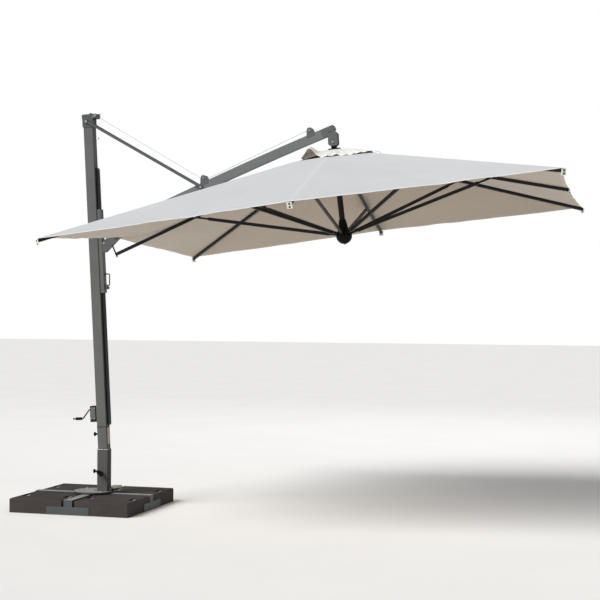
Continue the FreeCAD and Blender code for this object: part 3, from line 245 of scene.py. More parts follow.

# %% [markdown]
# ** Extruded bars** carry drawing lines along their length. The lines come from noise that is squeezed
# across the bar and stretched along it. The ribs run in eight directions, so their lines are left
# almost round; on the rail and boom they follow the bar.

# %% Anodised and brushed bars
def drawn_metal(name, colour, scale, roughness=0.35, metallic=0.85, lines=0.18, specular=0.5):
    f = Finish(name, roughness, metallic, specular=specular)
    grain = f.noise(1.0, 5.0, f.stretched(scale))
    patches = f.noise(3.0, 2.0)
    body = f.mix(f.ramp(grain, 0.3, 0.75), tone(colour, 0.85), tone(colour, 1.2))
    f.colour(f.mix(f.ramp(patches, 0.3, 0.8), body, tone(colour, 1.12)))
    f.rough(grain, roughness - 0.08, roughness + 0.12)
    f.bump(grain, lines, 0.0003)
    f.bump(f.noise(1100.0, 1.0), 0.08, 0.0002)
    return f.material


METAL = {
    "rail": drawn_metal("rail_black_anodised", (0.009, 0.009, 0.01), (420, 420, 5), 0.45, 0.1,
                        specular=0.25),
    "boom": drawn_metal("boom_grey_anodised", (0.15, 0.158, 0.156), (5, 420, 160), 0.5, 0.1,
                        specular=0.2),
    "rods": drawn_metal("rod_grey_anodised", (0.085, 0.092, 0.093), (8, 420, 90), 0.4, 0.15,
                        specular=0.4),
    "ribs": drawn_metal("rib_black_anodised", (0.009, 0.009, 0.009), (150, 150, 150), 0.42, 0.0,
                        specular=0.3),
    "pole": drawn_metal("pole_black_anodised", (0.007, 0.007, 0.007), (300, 300, 6), 0.4, 0.0,
                        specular=0.25),
    "bright": drawn_metal("bright_steel", (0.72, 0.73, 0.74), (260, 260, 60), 0.24, 1.0, 0.1),
}
print(len(METAL), "drawn metals")

# %% [markdown]
# ** Moulded plastic** has a fine leathery grain from the mould. The ballast blocks are **cast stone**:
# dark brown, with small aggregate, pores that catch the light and dust on top; their top faces are
# painted darker as painted shade.

# %% Moulded plastic and cast blocks
def moulded_plastic(name, colour, roughness=0.55, specular=0.5):
    f = Finish(name, roughness, specular=specular)
    cells = f.add("ShaderNodeTexVoronoi")
    cells.inputs["Scale"].default_value = 700.0
    f.link(f.place, cells.inputs["Vector"])
    f.colour(f.mix(f.ramp(f.noise(9.0, 4.0), 0.35, 0.75), colour, tone(colour, 1.5)))
    f.rough(f.noise(40.0, 4.0), roughness - 0.08, roughness + 0.08)
    f.bump(cells.outputs["Distance"], 0.22, 0.0004)
    return f.material


def cast_stone(name, colour):
    f = Finish(name, 0.82)
    grit = f.noise(190.0, 6.0, roughness=0.7)
    broad = f.noise(5.0, 5.0)
    body = f.mix(f.ramp(grit, 0.38, 0.68), tone(colour, 0.7), tone(colour, 1.35))
    body = f.mix(f.ramp(broad, 0.3, 0.75), body, tone(colour, 1.3))
    facing = f.add("ShaderNodeSeparateXYZ")
    f.link(f.add("ShaderNodeNewGeometry").outputs["Normal"], facing.inputs["Vector"])
    top = f.maths("MULTIPLY", f.ramp(facing.outputs["Z"], 0.6, 0.98), f.ramp(f.noise(3.2, 6.0), 0.3, 0.8))
    # Painted shade: upward faces are darkened towards half the stone's colour.
    body = f.mix(f.maths("MULTIPLY", f.ramp(facing.outputs["Z"], 0.8, 0.98), 0.55), body, tone(colour, 0.5))
    f.colour(f.mix(f.maths("MULTIPLY", top, 0.22), body, (0.15, 0.125, 0.115)))
    pores = f.ramp(f.noise(320.0, 3.0), 0.28, 0.42)
    f.rough(grit, 0.7, 0.95)
    f.bump(pores, 0.35, 0.0012)
    f.bump(grit, 0.4, 0.0009)
    return f.material


PLASTIC = moulded_plastic("black_plastic", (0.003, 0.003, 0.003), specular=0.12)
CREAM = moulded_plastic("cream_plastic", (0.72, 0.68, 0.6), 0.5)
BEIGE = moulded_plastic("beige_plastic", (0.42, 0.36, 0.28), 0.6)
NYLON = moulded_plastic("pulley_nylon", (0.06, 0.062, 0.062), 0.45)
STONE = cast_stone("brown_cast_block", (0.03, 0.023, 0.022))
print("plastic and stone ready")

# %% [markdown]
# **Braided rope**: two sets of strands wind opposite ways round the core, so two wave patterns cross.

# %% Braided rope
def braided_rope(name, colour, slant):
    f = Finish(name, 0.85, sheen=0.3)
    heights = []
    for turn in (slant, -slant):
        wave = f.add("ShaderNodeTexWave")
        wave.inputs["Scale"].default_value = 62.0
        mapping = f.add("ShaderNodeMapping")
        mapping.inputs["Rotation"].default_value = (0, turn, 0)
        f.link(f.place, mapping.inputs["Vector"])
        f.link(mapping.outputs["Vector"], wave.inputs["Vector"])
        heights.append(wave.outputs["Fac"])
    braid = f.maths("MAXIMUM", heights[0], heights[1])
    # Painted shade: the valleys between the strands are darkened to about half the rope's colour.
    f.colour(f.mix(f.ramp(braid, 0.2, 0.9), tone(colour, 0.55), colour))
    f.bump(braid, 0.6, 0.0006)
    f.bump(f.noise(2500.0, 2.0), 0.3, 0.0002)
    return f.material


ROPE = braided_rope("white_braid", (0.74, 0.74, 0.72), 0.8)
print("rope ready")

# %% [markdown]
# Every part of the frame now gets its finish. A dictionary from finish to parts keeps the choice in one
# place, and the line at the end prints the parts that have none, because cloth pieces stand for them.

# %% Finishes on the frame's parts
numbers = range(1, 9)
WEARS = [
    (POWDER["base"], ["base_cross", "bearing_plate", "turntable_plate"]),
    (POWDER["stub"], ["stub_post"]),
    (POWDER["mast"], ["mast_profile", "mast_insert"]),
    (POWDER["head"], ["mast_head"]),
    (POWDER["carriage"], ["slider_carriage", "slider_handle"]),
    (POWDER["pedal"], ["foot_pedal"]),
    (POWDER["winch"], ["winch_housing", "winch_drum"]),
    (POWDER["crank"], ["crank"]),
    (POWDER["casting"], ["boom_foot", "boom_end_casting"]),
    (POWDER["black"], ["pole_head"]),
    (POWDER["bracket"], ["pulley_brackets"]),
    (METAL["rail"], ["rail"]),
    (METAL["boom"], ["boom_profile"]),
    (METAL["rods"], ["tie_rods"]),
    (METAL["ribs"], [f"rib_{n}" for n in numbers] + [f"strut_{n}" for n in numbers]),
    (METAL["pole"], ["centre_pole"]),
    (METAL["bright"], ["ballast_grips", "swivel_pin", "mast_fasteners", "boom_fasteners",
                       "boom_pivot_pin"]),
    (PLASTIC, ["stub_knob_back", "stub_knob_front", "insert_knob", "crank_grip", "handle_latch",
               "glide_pads", "pole_collar", "hub", "crown"]),
    (NYLON, ["head_pulley", "mid_pulley", "end_pulley"]),
    (STONE, ["ballast_blocks"]),
    (ROPE, ["rope_mast_span", "rope_rod_span", "rope_boom_span"]),
]
for material, names in WEARS:
    for name in names:
        NODES[name].data.materials.clear()
        NODES[name].data.materials.append(material)
bare = sorted(set(NODES) - {name for _, names in WEARS for name in names})
print("parts left for cloth pieces:", bare)

# %% [markdown]
# **Cloth.** The sail is a woven acrylic. Seen close it has a plain weave; further off there are the
# doubled hem, the double seam along each rib and soft, broad mottling. The weave and seams follow the
# cloth, so they read a UV map: U is the distance across from the rib's seam, V the distance up from the
# hem, both in metres.

# %% Woven cloth
HEM_WIDTH, SEAM_WIDTH = 0.035, 0.018


def woven_cloth(name, colour, hem_colour):
    f = Finish(name, 0.86, sheen=0.25)
    uv = f.add("ShaderNodeUVMap").outputs["UV"]
    parts = f.add("ShaderNodeSeparateXYZ")
    f.link(uv, parts.inputs["Vector"])
    across, from_hem = f.maths("ABSOLUTE", parts.outputs["X"]), parts.outputs["Y"]
    hem = f.ramp(from_hem, HEM_WIDTH, HEM_WIDTH + 0.001, (1, 1, 1, 1), (0, 0, 0, 1))
    seam = f.ramp(across, SEAM_WIDTH, SEAM_WIDTH + 0.001, (1, 1, 1, 1), (0, 0, 0, 1))
    threads = []
    for direction in ("X", "Y"):
        wave = f.add("ShaderNodeTexWave")
        wave.bands_direction = direction
        wave.inputs["Scale"].default_value = 260.0
        f.link(uv, wave.inputs["Vector"])
        threads.append(wave.outputs["Fac"])
    weave = f.maths("MULTIPLY", threads[0], threads[1])
    mottle = f.noise(1.7, 5.0, uv)
    slub = f.noise(1.0, 3.0, f.stretched((900, 25, 1), uv))
    body = f.mix(f.ramp(mottle, 0.3, 0.75), tone(colour, 0.95), tone(colour, 1.04))
    body = f.mix(f.maths("MULTIPLY", weave, 0.12), body, tone(colour, 0.8))
    body = f.mix(f.maths("MULTIPLY", slub, 0.08), body, tone(colour, 0.86))
    doubled = f.maths("MAXIMUM", hem, seam)
    body = f.mix(f.maths("MULTIPLY", hem, 0.8), body, hem_colour)
    body = f.mix(f.maths("MULTIPLY", seam, 0.22), body, hem_colour)
    stitches = stitch_rows(f, across, from_hem, parts)
    f.colour(f.mix(f.maths("MULTIPLY", stitches, 0.4), body, tone(hem_colour, 0.6)))
    f.bump(weave, 0.25, 0.0003)
    f.bump(doubled, 0.5, 0.0012)
    f.bump(stitches, 0.5, 0.001)
    f.bump(f.noise(7.0, 4.0, uv), 0.25, 0.01)
    return f.material


def stitch_rows(f, across, from_hem, parts):
    """Dashes 6 mm apart along the hem's inner edge and along both edges of a rib's seam."""
    rows = []
    for distance, centre, run in ((from_hem, HEM_WIDTH - 0.005, parts.outputs["X"]),
                                  (across, SEAM_WIDTH - 0.004, parts.outputs["Y"])):
        near = f.maths("COMPARE", distance, centre, 0.0009)
        dash = f.maths("GREATER_THAN", f.maths("FRACT", f.maths("MULTIPLY", run, 165.0)), 0.35)
        rows.append(f.maths("MULTIPLY", near, dash))
    return f.maths("MAXIMUM", rows[0], rows[1])


SAIL_OUT = woven_cloth("sail_outside", (0.605, 0.62, 0.645), (0.8, 0.81, 0.83))
# The inside is the same cloth painted darker and warmer than the outside: painted shade, with a painted
# warm bounce light from below.
SAIL_SHADED_INSIDE = woven_cloth("sail_inside_painted_shade", (0.445, 0.368, 0.287), (0.5, 0.43, 0.35))
CAP_OUT = woven_cloth("vent_cap_outside", (0.78, 0.775, 0.745), (0.84, 0.835, 0.81))
# The cap's inside is the same cloth painted darker and browner than its outside, as painted shade.
CAP_SHADED_INSIDE = woven_cloth("vent_cap_inside_painted_shade", (0.42, 0.37, 0.31), (0.5, 0.44, 0.38))
print("cloth ready")

# %% [markdown]
# **The ribs' lines.** A rib's hinge and its strut's hinge both lie on its centre line, so those two joints
# give its direction, and the farthest corner of its mesh gives its length. The cloth lies a few
# millimetres above the bar.

# %% Rib lines
RIB_HALF_DEPTH, CLOTH_LIFT = 0.014, 0.005
INTO_CANOPY = CANOPY.inverted()


class RibLine:
    """One rib in the canopy's frame: hinge, direction, upward normal and length."""

    def __init__(self, number):
        self.number = number
        self.hinge = INTO_CANOPY @ joint_place(f"rib_{number}_hinge")
        knuckle = INTO_CANOPY @ joint_place(f"strut_{number}_hinge")
        self.along = (knuckle - self.hinge).normalized()
        self.side = INTO_CANOPY.to_3x3() @ joint_axis(f"rib_{number}_hinge")
        self.up = self.along.cross(self.side)
        node = NODES[f"rib_{number}"]
        self.length = max((INTO_CANOPY @ v.co - self.hinge).dot(self.along) for v in node.data.vertices)
        self.flat = Vector((self.along.x, self.along.y, 0)).normalized()

    def over(self, reach, lift=CLOTH_LIFT):
        """The point above the rib at a horizontal distance from the pole."""
        run = (reach - self.hinge.xy.length) / self.along.xy.length
        here = self.hinge + self.along * run
        return here + Vector((0, 0, (RIB_HALF_DEPTH + lift) / self.up.z))

    def reach(self):
        return self.hinge.xy.length + self.along.xy.length * self.length


RIBS = [RibLine(n) for n in numbers]
print("rib lengths", [round(rib.length, 3) for rib in RIBS])

# %% [markdown]
# **One gore of cloth per rib.** The real sail is one sheet with a seam over each rib. When the umbrella
# closes, the cloth beside a rib goes with that rib, so the sheet is modelled as eight gores, each with a
# seam in its middle, that meet halfway between the ribs. A flat grid is mapped onto the sail: its X runs
# across the gore and its Y from the vent down to the hem. Both neighbours work out the shared edge from
# the same two ribs, so the sheet is whole.

# %% The sail's surface
VENT_HALF, HEM_PULL, SAG = 0.30, 0.014, 0.016
LOW_RIB, LOW_END_GAP, LOW_END_RUN = 5, 0.128, 0.5


def square_reach(rib, half):
    """How far out a square of that half width reaches along a rib."""
    return half / max(abs(rib.flat.x), abs(rib.flat.y))


def creases(spot, strength):
    """Soft folds that run out to the corners, strongest near the hem."""
    turn = math.atan2(spot.y, spot.x)
    ripple = noise.noise(Vector((turn * 9.0, spot.xy.length * 0.55, 3.1)))
    fine = noise.noise(Vector((turn * 26.0, spot.xy.length * 1.1, 8.7)))
    return strength * (ripple * 0.7 + fine * 0.3)


def sail_point(first, second, share, down):
    """Where the sail lies between two ribs: share runs from one to the other, down from vent to hem."""
    spots = []
    for rib in (first, second):
        start = square_reach(rib, VENT_HALF)
        out = start + (rib.reach() - start) * down
        rise = max(0.0, 1 - (rib.reach() - out) / LOW_END_RUN) if rib.number == LOW_RIB else 0.0
        spots.append(rib.over(out, CLOTH_LIFT + LOW_END_GAP * rise ** 1.4))
    between = 4 * share * (1 - share)
    spot = spots[0].lerp(spots[1], share)
    inward = -Vector((spot.x, spot.y, 0)).normalized()
    spot += inward * HEM_PULL * between * down ** 4
    spot.z -= SAG * between * (4 * down * (1 - down) * 0.8 + 0.3 * down)
    spot.z += creases(spot, 0.011) * between * down ** 1.5
    return spot


print("mid hem at", [round(c, 3) for c in sail_point(RIBS[0], RIBS[1], 0.5, 1.0)])

# %% [markdown]
# The grid comes from `create_grid`; each vertex is then moved to its place on the sail. The UV map
# stores real distances for the weave and the seams.

# %% Cutting a gore
def gore(name, index, surface, across, down, out, inside, thickness=0.0014):
    """A cloth gore over one rib, from a grid mapped by a surface function."""
    rib, before, after = RIBS[index], RIBS[index - 1], RIBS[(index + 1) % 8]
    bm = bmesh.new()
    bmesh.ops.create_grid(bm, x_segments=across, y_segments=down, size=1.0)
    uv_layer = bm.loops.layers.uv.new("cloth")
    grid = {}
    for vert in bm.verts:
        share, way = -vert.co.x / 2, (vert.co.y + 1) / 2
        grid[vert] = (share, way)
        other = after if share >= 0 else before
        vert.co = surface(rib, other, abs(share), way)
    for face in bm.faces:
        for loop in face.loops:
            share, way = grid[loop.vert]
            other = after if share >= 0 else before
            hem = surface(rib, other, abs(share), 1.0)
            seam = surface(rib, other, 0.0, way)
            distance = (loop.vert.co - seam).length
            loop[uv_layer].uv = (math.copysign(distance, share), (loop.vert.co - hem).length)
    for edge in bm.edges:
        edge.smooth = not edge.is_boundary
    bmesh.ops.transform(bm, matrix=CANOPY, verts=bm.verts)
    area = sum(face.calc_area() for face in bm.faces)
    spots = [loop[uv_layer].uv for face in bm.faces for loop in face.loops]
    width = max(uv.x for uv in spots) - min(uv.x for uv in spots)
    length = max(uv.y for uv in spots)
    piece = new_piece(name, bm, [out, inside], smooth=True)
    wall = piece.modifiers.new("cloth_thickness", "SOLIDIFY")
    wall.thickness = thickness
    wall.offset = -1.0
    wall.material_offset = 1
    return piece, area, (width, length)


def new_piece(name, bm, materials, smooth=False):
    """Turns a bmesh into an object at the origin."""
    mesh = bpy.data.meshes.new(name)
    bm.to_mesh(mesh)
    bm.free()
    for material in materials:
        mesh.materials.append(material)
    if smooth:
        mesh.shade_smooth()
    piece = bpy.data.objects.new(name, mesh)
    bpy.context.scene.collection.objects.link(piece)
    return piece


def let_fold(piece, index):
    """The gore rides its rib as the umbrella closes."""
    rib = RIBS[index]
    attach(piece, f"rib_{rib.number}")
    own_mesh(piece)


total = 0.0
for index, rib in enumerate(RIBS):
    piece, area, flat = gore(f"sail_gore_{rib.number}", index, sail_point, 40, 56, SAIL_OUT, SAIL_SHADED_INSIDE)
    let_fold(piece, index)
    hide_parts("canopy")
    print(f"gore {rib.number}: {flat[0]:.3f} x {flat[1]:.3f} m flat, {area:.2f} square metres")
    total += area
print("sail area", round(total, 2), "square metres")

# %% [markdown]
# ** The vent cap** is a second, smaller sheet over the opening at the top. It is loose, so its edge
# ruffles, and beside the corner under the boom it puffs up into a fold that shows the dark vent; the
# cap's underside there is painted darker as painted shade. A loop of webbing on the far side is for
# pulling it straight.

# %% The vent cap
CAP_HALVES = (0.37, 0.365, 0.355, 0.33, 0.29, 0.25, 0.345, 0.405)
CAP_LIFT, CAP_NECK, FOLD_RISE = 0.012, 0.03, 0.09
FOLD_SPOT, FOLD_WIDTH, FOLD_DEPTH = Vector((-0.165, -0.27)), 0.05, 0.12


def cap_point(first, second, share, down):
    spots = []
    for rib in (first, second):
        neck = rib.flat * CAP_NECK + Vector((0, 0, 0.002))
        half = CAP_HALVES[rib.number - 1]
        spots.append(neck.lerp(rib.over(square_reach(rib, half), CLOTH_LIFT + CAP_LIFT), down))
    between = 4 * share * (1 - share)
    spot = spots[0].lerp(spots[1], share)
    spot.z += 0.014 * 4 * down * (1 - down)
    spot.z += max(-0.008, creases(spot * 3.0, 0.034)) * down ** 2
    inward = -Vector((spot.x, spot.y, 0)).normalized()
    spot += inward * 0.02 * between * down ** 3
    away = spot.xy - FOLD_SPOT
    spot.z += FOLD_RISE * math.exp(-(away.x / FOLD_WIDTH) ** 2 - (away.y / FOLD_DEPTH) ** 2)
    return spot


for index, rib in enumerate(RIBS):
    piece, area, flat = gore(f"vent_cap_gore_{rib.number}", index, cap_point, 28, 28, CAP_OUT, CAP_SHADED_INSIDE)
    let_fold(piece, index)
    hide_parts("vent_cap")
    print(f"cap gore {rib.number}: {flat[0]:.3f} x {flat[1]:.3f} m flat")

LOOP_RADIUS, CORD_RADIUS = 0.031, 0.0045
loop_foot = cap_point(RIBS[0], RIBS[1], 0.05, 0.97) + Vector((0.012, 0, -0.002))
bm = bmesh.new()
bmesh.ops.create_circle(bm, segments=10, radius=CORD_RADIUS,
                        matrix=Matrix.Translation(loop_foot + Vector((LOOP_RADIUS, 0, 0))))
bmesh.ops.spin(bm, geom=bm.edges[:] + bm.verts[:], cent=loop_foot, axis=(0, 1, 0), angle=-math.pi, steps=16,
               use_duplicate=False)
bmesh.ops.scale(bm, vec=(1, 1.8, 0.75), space=Matrix.Translation(-loop_foot), verts=bm.verts)
bmesh.ops.holes_fill(bm, edges=[edge for edge in bm.edges if edge.is_boundary])
bmesh.ops.recalc_face_normals(bm, faces=bm.faces)
bmesh.ops.transform(bm, matrix=CANOPY, verts=bm.verts)
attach(new_piece("vent_cap_loop", bm, [CAP_OUT], smooth=True), "rib_1")

# %% [markdown]
# **Small fittings.** Screws, rivets and trim plates catch the light and give the scale. They share two
# helpers: a block whose edges are bevelled, and a screw head made from a cone whose top is inset twice,
# the second time downwards, to leave a socket.

# %% Helpers for fittings
def aimed(frame_matrix, spot, direction):
    """A place in a local frame whose Z looks along a direction."""
    turn = Vector(direction).to_track_quat("Z", "Y").to_matrix().to_4x4()
    return frame_matrix @ Matrix.Translation(spot) @ turn


def paint_new(bm, before, finish):
    """Gives the faces made since then a finish by its number."""
    for face in bm.faces:
        if face not in before:
            face.material_index = finish


def add_block(bm, place, size, bevel=0.0008, finish=0):
    before = set(bm.faces)
    made = bmesh.ops.create_cube(bm, size=1.0, matrix=place @ Matrix.Diagonal((*size, 1.0)))
    edges = list({edge for vert in made["verts"] for edge in vert.link_edges})
    bmesh.ops.bevel(bm, geom=edges, offset=bevel, offset_type="OFFSET", segments=2, profile=0.5,
                    affect="EDGES", material=-1, clamp_overlap=True)
    paint_new(bm, before, finish)


def add_screw(bm, place, radius, depth, finish=0):
    before = set(bm.faces)
    bmesh.ops.create_cone(bm, cap_ends=True, segments=20, radius1=radius, radius2=radius * 0.82,
                          depth=depth, matrix=place @ Matrix.Translation((0, 0, depth / 2)))
    outward = place.to_3x3() @ Vector((0, 0, 1))
    top = max((f for f in bm.faces if f not in before), key=lambda f: f.calc_center_median().dot(outward))
    bmesh.ops.inset_region(bm, faces=[top], thickness=radius * 0.38)
    bmesh.ops.inset_region(bm, faces=[top], thickness=radius * 0.02, depth=-depth * 0.5)
    paint_new(bm, before, finish)


def fit(name, bm, body, *finishes):
    """Makes the fitting's object and lets it move with a body of the frame."""
    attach(new_piece(name, bm, finishes), body)


print("fitting helpers ready")

# %% [markdown]
# **Rib ends.** A cream plate with two screws closes each rib and holds the sail's hem pocket. The rib
# beside the mast has a dark strap instead, because the hem passes above its end. A bright rivet shows on
# both sides of each strut's fork.

# %% Rib end plates, strap and rivets
PLATE_WIDTH, PLATE_HEIGHT, PLATE_GAUGE = 0.041, 0.05, 0.005
STRAP_WIDTH, STRAP_HEIGHT, STRAP_GAUGE = 0.03, 0.155, 0.005
FORK_HALF, RIVET_RADIUS = 0.0145, 0.0065
for rib in RIBS:
    tip = rib.hinge + rib.along * rib.length
    turn = Matrix((rib.side, rib.up, rib.along)).transposed().to_4x4()
    end = CANOPY @ Matrix.Translation(tip) @ turn
    bm = bmesh.new()
    if rib.number == LOW_RIB:
        add_block(bm, end @ Matrix.Translation((0, 0.05, STRAP_GAUGE / 2 + 0.0005)),
                  (STRAP_WIDTH, STRAP_HEIGHT, STRAP_GAUGE), 0.001)
        fit("rib_end_strap_5", bm, "rib_5", METAL["ribs"])
    else:
        add_block(bm, end @ Matrix.Translation((0, -0.01, PLATE_GAUGE / 2 + 0.0005)),
                  (PLATE_WIDTH, PLATE_HEIGHT, PLATE_GAUGE), 0.0015)
        for height in (0.002, -0.022):
            add_screw(bm, end @ Matrix.Translation((0, height, PLATE_GAUGE)), 0.008, 0.004, 1)
        fit(f"rib_end_plate_{rib.number}", bm, f"rib_{rib.number}", CREAM, METAL["ribs"])
    bm = bmesh.new()
    knuckle = INTO_CANOPY @ joint_place(f"strut_{rib.number}_hinge")
    for sign in (-1, 1):
        spot = knuckle + rib.side * sign * FORK_HALF
        add_screw(bm, aimed(CANOPY, spot, rib.side * sign), RIVET_RADIUS, 0.003)
    fit(f"strut_rivets_{rib.number}", bm, f"strut_{rib.number}", METAL["bright"])
print("rib ends closed")

# %% [markdown]
# **Strut sleeves.** Between its fork and the hub each strut is a deep flat bar. The solid model keeps only
# its core, so a block with rounded edges is laid round that core. Its direction comes from the farthest
# vertices of the strut, its depth lies in the plane of the fold.

# %% Strut sleeves
SLEEVE_START, SLEEVE_END, SLEEVE_WIDTH, SLEEVE_DEPTH = 0.125, 0.085, 0.0195, 0.029
for rib in RIBS:
    knuckle = INTO_CANOPY @ joint_place(f"strut_{rib.number}_hinge")
    spots = [INTO_CANOPY @ v.co for v in NODES[f"strut_{rib.number}"].data.vertices]
    reach_out = max((spot - knuckle).length for spot in spots)
    foot = [spot for spot in spots if (spot - knuckle).length > reach_out - 0.006]
    ahead = (sum(foot, Vector()) / len(foot) - knuckle).normalized()
    length = reach_out - SLEEVE_START - SLEEVE_END
    turn = Matrix((rib.side, ahead.cross(rib.side), ahead)).transposed().to_4x4()
    middle = Matrix.Translation(knuckle + ahead * (SLEEVE_START + length / 2))
    bm = bmesh.new()
    add_block(bm, CANOPY @ middle @ turn, (SLEEVE_WIDTH, SLEEVE_DEPTH, length), 0.003)
    fit(f"strut_sleeve_{rib.number}", bm, f"strut_{rib.number}", METAL["ribs"])
print("struts sleeved")

# %% [markdown]
# ** Mast trim.** The winch has a grey face panel with four screws. Lower down are the dark gasket where
# the mast meets its insert, a bright band on the stub's rim that paints the rim's edge highlight, and a
# beige strip on the insert's front. The clamp knob has two finger lobes.

# %% Mast trim
NEAR = Vector((0, -1, 0))
MAST_SIDE, STUB_SIDE, SEAM_HEIGHT = 0.09, 0.1, 0.201
PANEL_MIDDLE, PANEL_SIZE = Vector((-0.08, -0.0372, 0.326)), (0.042, 0.0022, 0.108)
LOBE_DEPTH, LOBE_FRONT = 0.018, 0.106


def at_mast(x, y, z):
    return MAST @ Matrix.Translation((x, y, z))


bm = bmesh.new()
add_block(bm, at_mast(*PANEL_MIDDLE), PANEL_SIZE)
for x in (-0.016, 0.016):
    for z in (-0.047, 0.047):
        add_screw(bm, aimed(MAST, PANEL_MIDDLE + Vector((x, -0.001, z)), NEAR), 0.0042, 0.002, 1)
fit("winch_panel", bm, "mast", POWDER["panel"], METAL["bright"])


def add_ring(bm, frame_matrix, side, height, low, proud):
    """A thin square band around a post: four blocks whose ends overlap in the corners."""
    for quarter in range(4):
        turn = Matrix.Rotation(math.radians(90 * quarter), 4, "Z")
        block = turn @ Matrix.Translation((side / 2 + proud / 2, 0, low + height / 2))
        add_block(bm, frame_matrix @ block, (proud, side - 0.004, height), 0.0003)


bm = bmesh.new()
add_ring(bm, MAST, MAST_SIDE, 0.006, SEAM_HEIGHT - 0.0025, 0.0012)
fit("mast_gasket", bm, "mast", METAL["rail"])
# A bright steel band on the stub's rim: a painted highlight along the rim's edge.
bm = bmesh.new()
add_ring(bm, Matrix.Translation((STUB_OFFSET, 0, 0)), STUB_SIDE, 0.0018, STUB_TOP - 0.0028, 0.0007)
fit("stub_rim_painted_highlight", bm, "mast", METAL["bright"])
bm = bmesh.new()
add_block(bm, at_mast(MAST_SIDE / 2 + 0.0012, 0, 0.118), (0.0022, 0.05, 0.15))
fit("insert_strip", bm, "mast", BEIGE)
bm = bmesh.new()
knob = joint_place("stub_front_knob_turn")
for x, z in ((-0.014, 0.01), (0.014, -0.01)):
    spot = Vector((knob.x + x, -LOBE_FRONT, knob.z + z))
    bmesh.ops.create_cone(bm, cap_ends=True, segments=28, radius1=0.019, radius2=0.017, depth=LOBE_DEPTH,
                          matrix=aimed(Matrix(), spot, NEAR))
rims = [edge for edge in bm.edges if edge.calc_face_angle(0.0) > 0.9]
bmesh.ops.bevel(bm, geom=rims, offset=0.003, offset_type="OFFSET", segments=3, profile=0.5,
                affect="EDGES", material=-1, clamp_overlap=True)
fit("front_knob_lobes", bm, "stub_front_knob", PLASTIC)
print("mast trimmed")

# %% [markdown]
# ** Pivot bolts.** Bright heads sit on both ends of each pivot of the boom, so the eye reads where it
# turns. Their places come from the joints, the tie rods' lower eye from the rods' own mesh, and the
# mast head's pair from a given point.

# %% Pivot bolts
rods = [MAST.inverted() @ v.co for v in NODES["tie_rods"].data.vertices]
EYE_RADIUS = 0.016
far = max(v.x for v in rods) - EYE_RADIUS
eye = [v for v in rods if abs(v.x - far) < EYE_RADIUS]
low_eye = Vector((far, 0, (min(v.z for v in eye) + max(v.z for v in eye)) / 2))
BOLTS = {
    "mid_pulley_bolts": (MAST.inverted() @ joint_place("mid_pulley_spin"), 0.0385, 0.0095, "boom"),
    "end_pulley_bolts": (MAST.inverted() @ joint_place("end_pulley_spin"), 0.0385, 0.0095, "boom"),
    "hanger_bolts": (MAST.inverted() @ TILT_PIN, 0.035, 0.012, "boom"),
    "tie_rod_bolts": (low_eye, max(abs(v.y) for v in eye), 0.011, "rods"),
}
for name, (spot, half, radius, body) in BOLTS.items():
    bm = bmesh.new()
    for sign in (-1, 1):
        add_screw(bm, aimed(MAST, (spot.x, sign * half, spot.z), (0, sign, 0)), radius, 0.0055)
    fit(name, bm, body, METAL["bright"])
HEAD_BOLT = Vector((0.072, 0.0495, 3.023))
bm = bmesh.new()
for sign in (-1, 1):
    spot = (HEAD_BOLT.x, sign * HEAD_BOLT.y, HEAD_BOLT.z)
    add_screw(bm, aimed(MAST, spot, (0, sign, 0)), 0.013, 0.005)
fit("mast_head_bolts", bm, "mast", METAL["bright"])
print(len(BOLTS) + 1, "sets of bolts")

# %% [markdown]
# **Floor and light.** The floor is pale and matt, as in a product studio.

# %% Floor
def pale_floor():
    f = Finish("studio_floor", 0.9)
    f.colour(f.mix(f.ramp(f.noise(0.8, 3.0), 0.3, 0.7), (0.92, 0.92, 0.915), (0.95, 0.95, 0.945)))
    return f.material


bm = bmesh.new()
bmesh.ops.create_grid(bm, x_segments=8, y_segments=8, size=60.0)
floor = new_piece("floor", bm, [pale_floor()])
print("floor laid")

# %% [markdown]
# A broad sun lamp lights the floor evenly right to the horizon, which area lamps can't do, and its wide
# angle keeps the shadows soft. One area lamp behind the umbrella lifts its far side. The surround looks
# white but lights the object less than it looks, so the sides turned away from the sun stay dark.

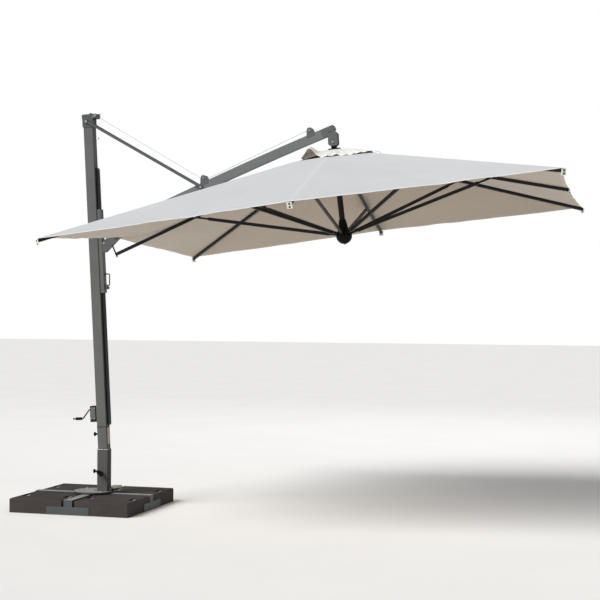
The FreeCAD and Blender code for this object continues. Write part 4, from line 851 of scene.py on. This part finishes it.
# %% Surround and lamps
world = bpy.data.worlds.new("studio")
bpy.context.scene.world = world
world.use_nodes = True
surround = world.node_tree
for label, colour, strength in (("glow", (0.97, 0.98, 1.0, 1), 0.26), ("seen", (1, 1, 1, 1), 1.0)):
    backdrop = surround.nodes.new("ShaderNodeBackground")
    backdrop.name = label
    backdrop.inputs["Color"].default_value = colour
    backdrop.inputs["Strength"].default_value = strength
blend, path = surround.nodes.new("ShaderNodeMixShader"), surround.nodes.new("ShaderNodeLightPath")
surround.links.new(path.outputs["Is Camera Ray"], blend.inputs[0])
surround.links.new(surround.nodes["glow"].outputs[0], blend.inputs[1])
surround.links.new(surround.nodes["seen"].outputs[0], blend.inputs[2])
surround.links.new(blend.outputs[0], surround.nodes["World Output"].inputs["Surface"])


def soft_lamp(name, kind, place, aim, power, size, colour=(1, 1, 1)):
    light = bpy.data.lights.new(name, kind)
    light.energy, light.color = power, colour
    if kind == "SUN":
        light.angle = size
    else:
        light.shape, light.size = "SQUARE", size
    lamp = bpy.data.objects.new(name, light)
    lamp.location = place
    lamp.rotation_euler = (Vector(aim) - Vector(place)).to_track_quat("-Z", "Y").to_euler()
    bpy.context.scene.collection.objects.link(lamp)
    print(name, kind.lower(), power)


soft_lamp("key", "SUN", (-5, -8, 10), (1.5, 0, 1.5), 3.25, math.radians(35), (1.0, 0.985, 0.96))
soft_lamp("back", "AREA", (3, 10, 8), (1.5, 0, 2), 150, 6)

# %% [markdown]
# **Camera.** Eye height, about thirteen metres away, with a long lens, so the sail's far corners are
# almost as large as the near ones.

# %% Camera
def aim_camera():
    data = bpy.data.cameras.new("camera")
    data.lens, data.sensor_width = 85.22, 36.0
    data.shift_x = 0.0069
    data.clip_end = 300.0
    camera = bpy.data.objects.new("camera", data)
    yaw, pitch, roll = 0.2318, 0.0051, 0.0063
    ahead = Vector((-math.sin(yaw) * math.cos(pitch), math.cos(yaw) * math.cos(pitch), math.sin(pitch)))
    right = Vector((math.cos(yaw), math.sin(yaw), 0))
    above = right.cross(ahead)
    tilted = right * math.cos(roll) + above * math.sin(roll)
    upright = above * math.cos(roll) - right * math.sin(roll)
    turn = Matrix((tilted, upright, -ahead)).transposed().to_4x4()
    camera.matrix_world = Matrix.Translation((4.743, -12.153, 1.823)) @ turn
    bpy.context.scene.collection.objects.link(camera)
    bpy.context.scene.camera = camera


aim_camera()
bpy.context.scene.view_settings.view_transform = "Standard"
print("camera placed")
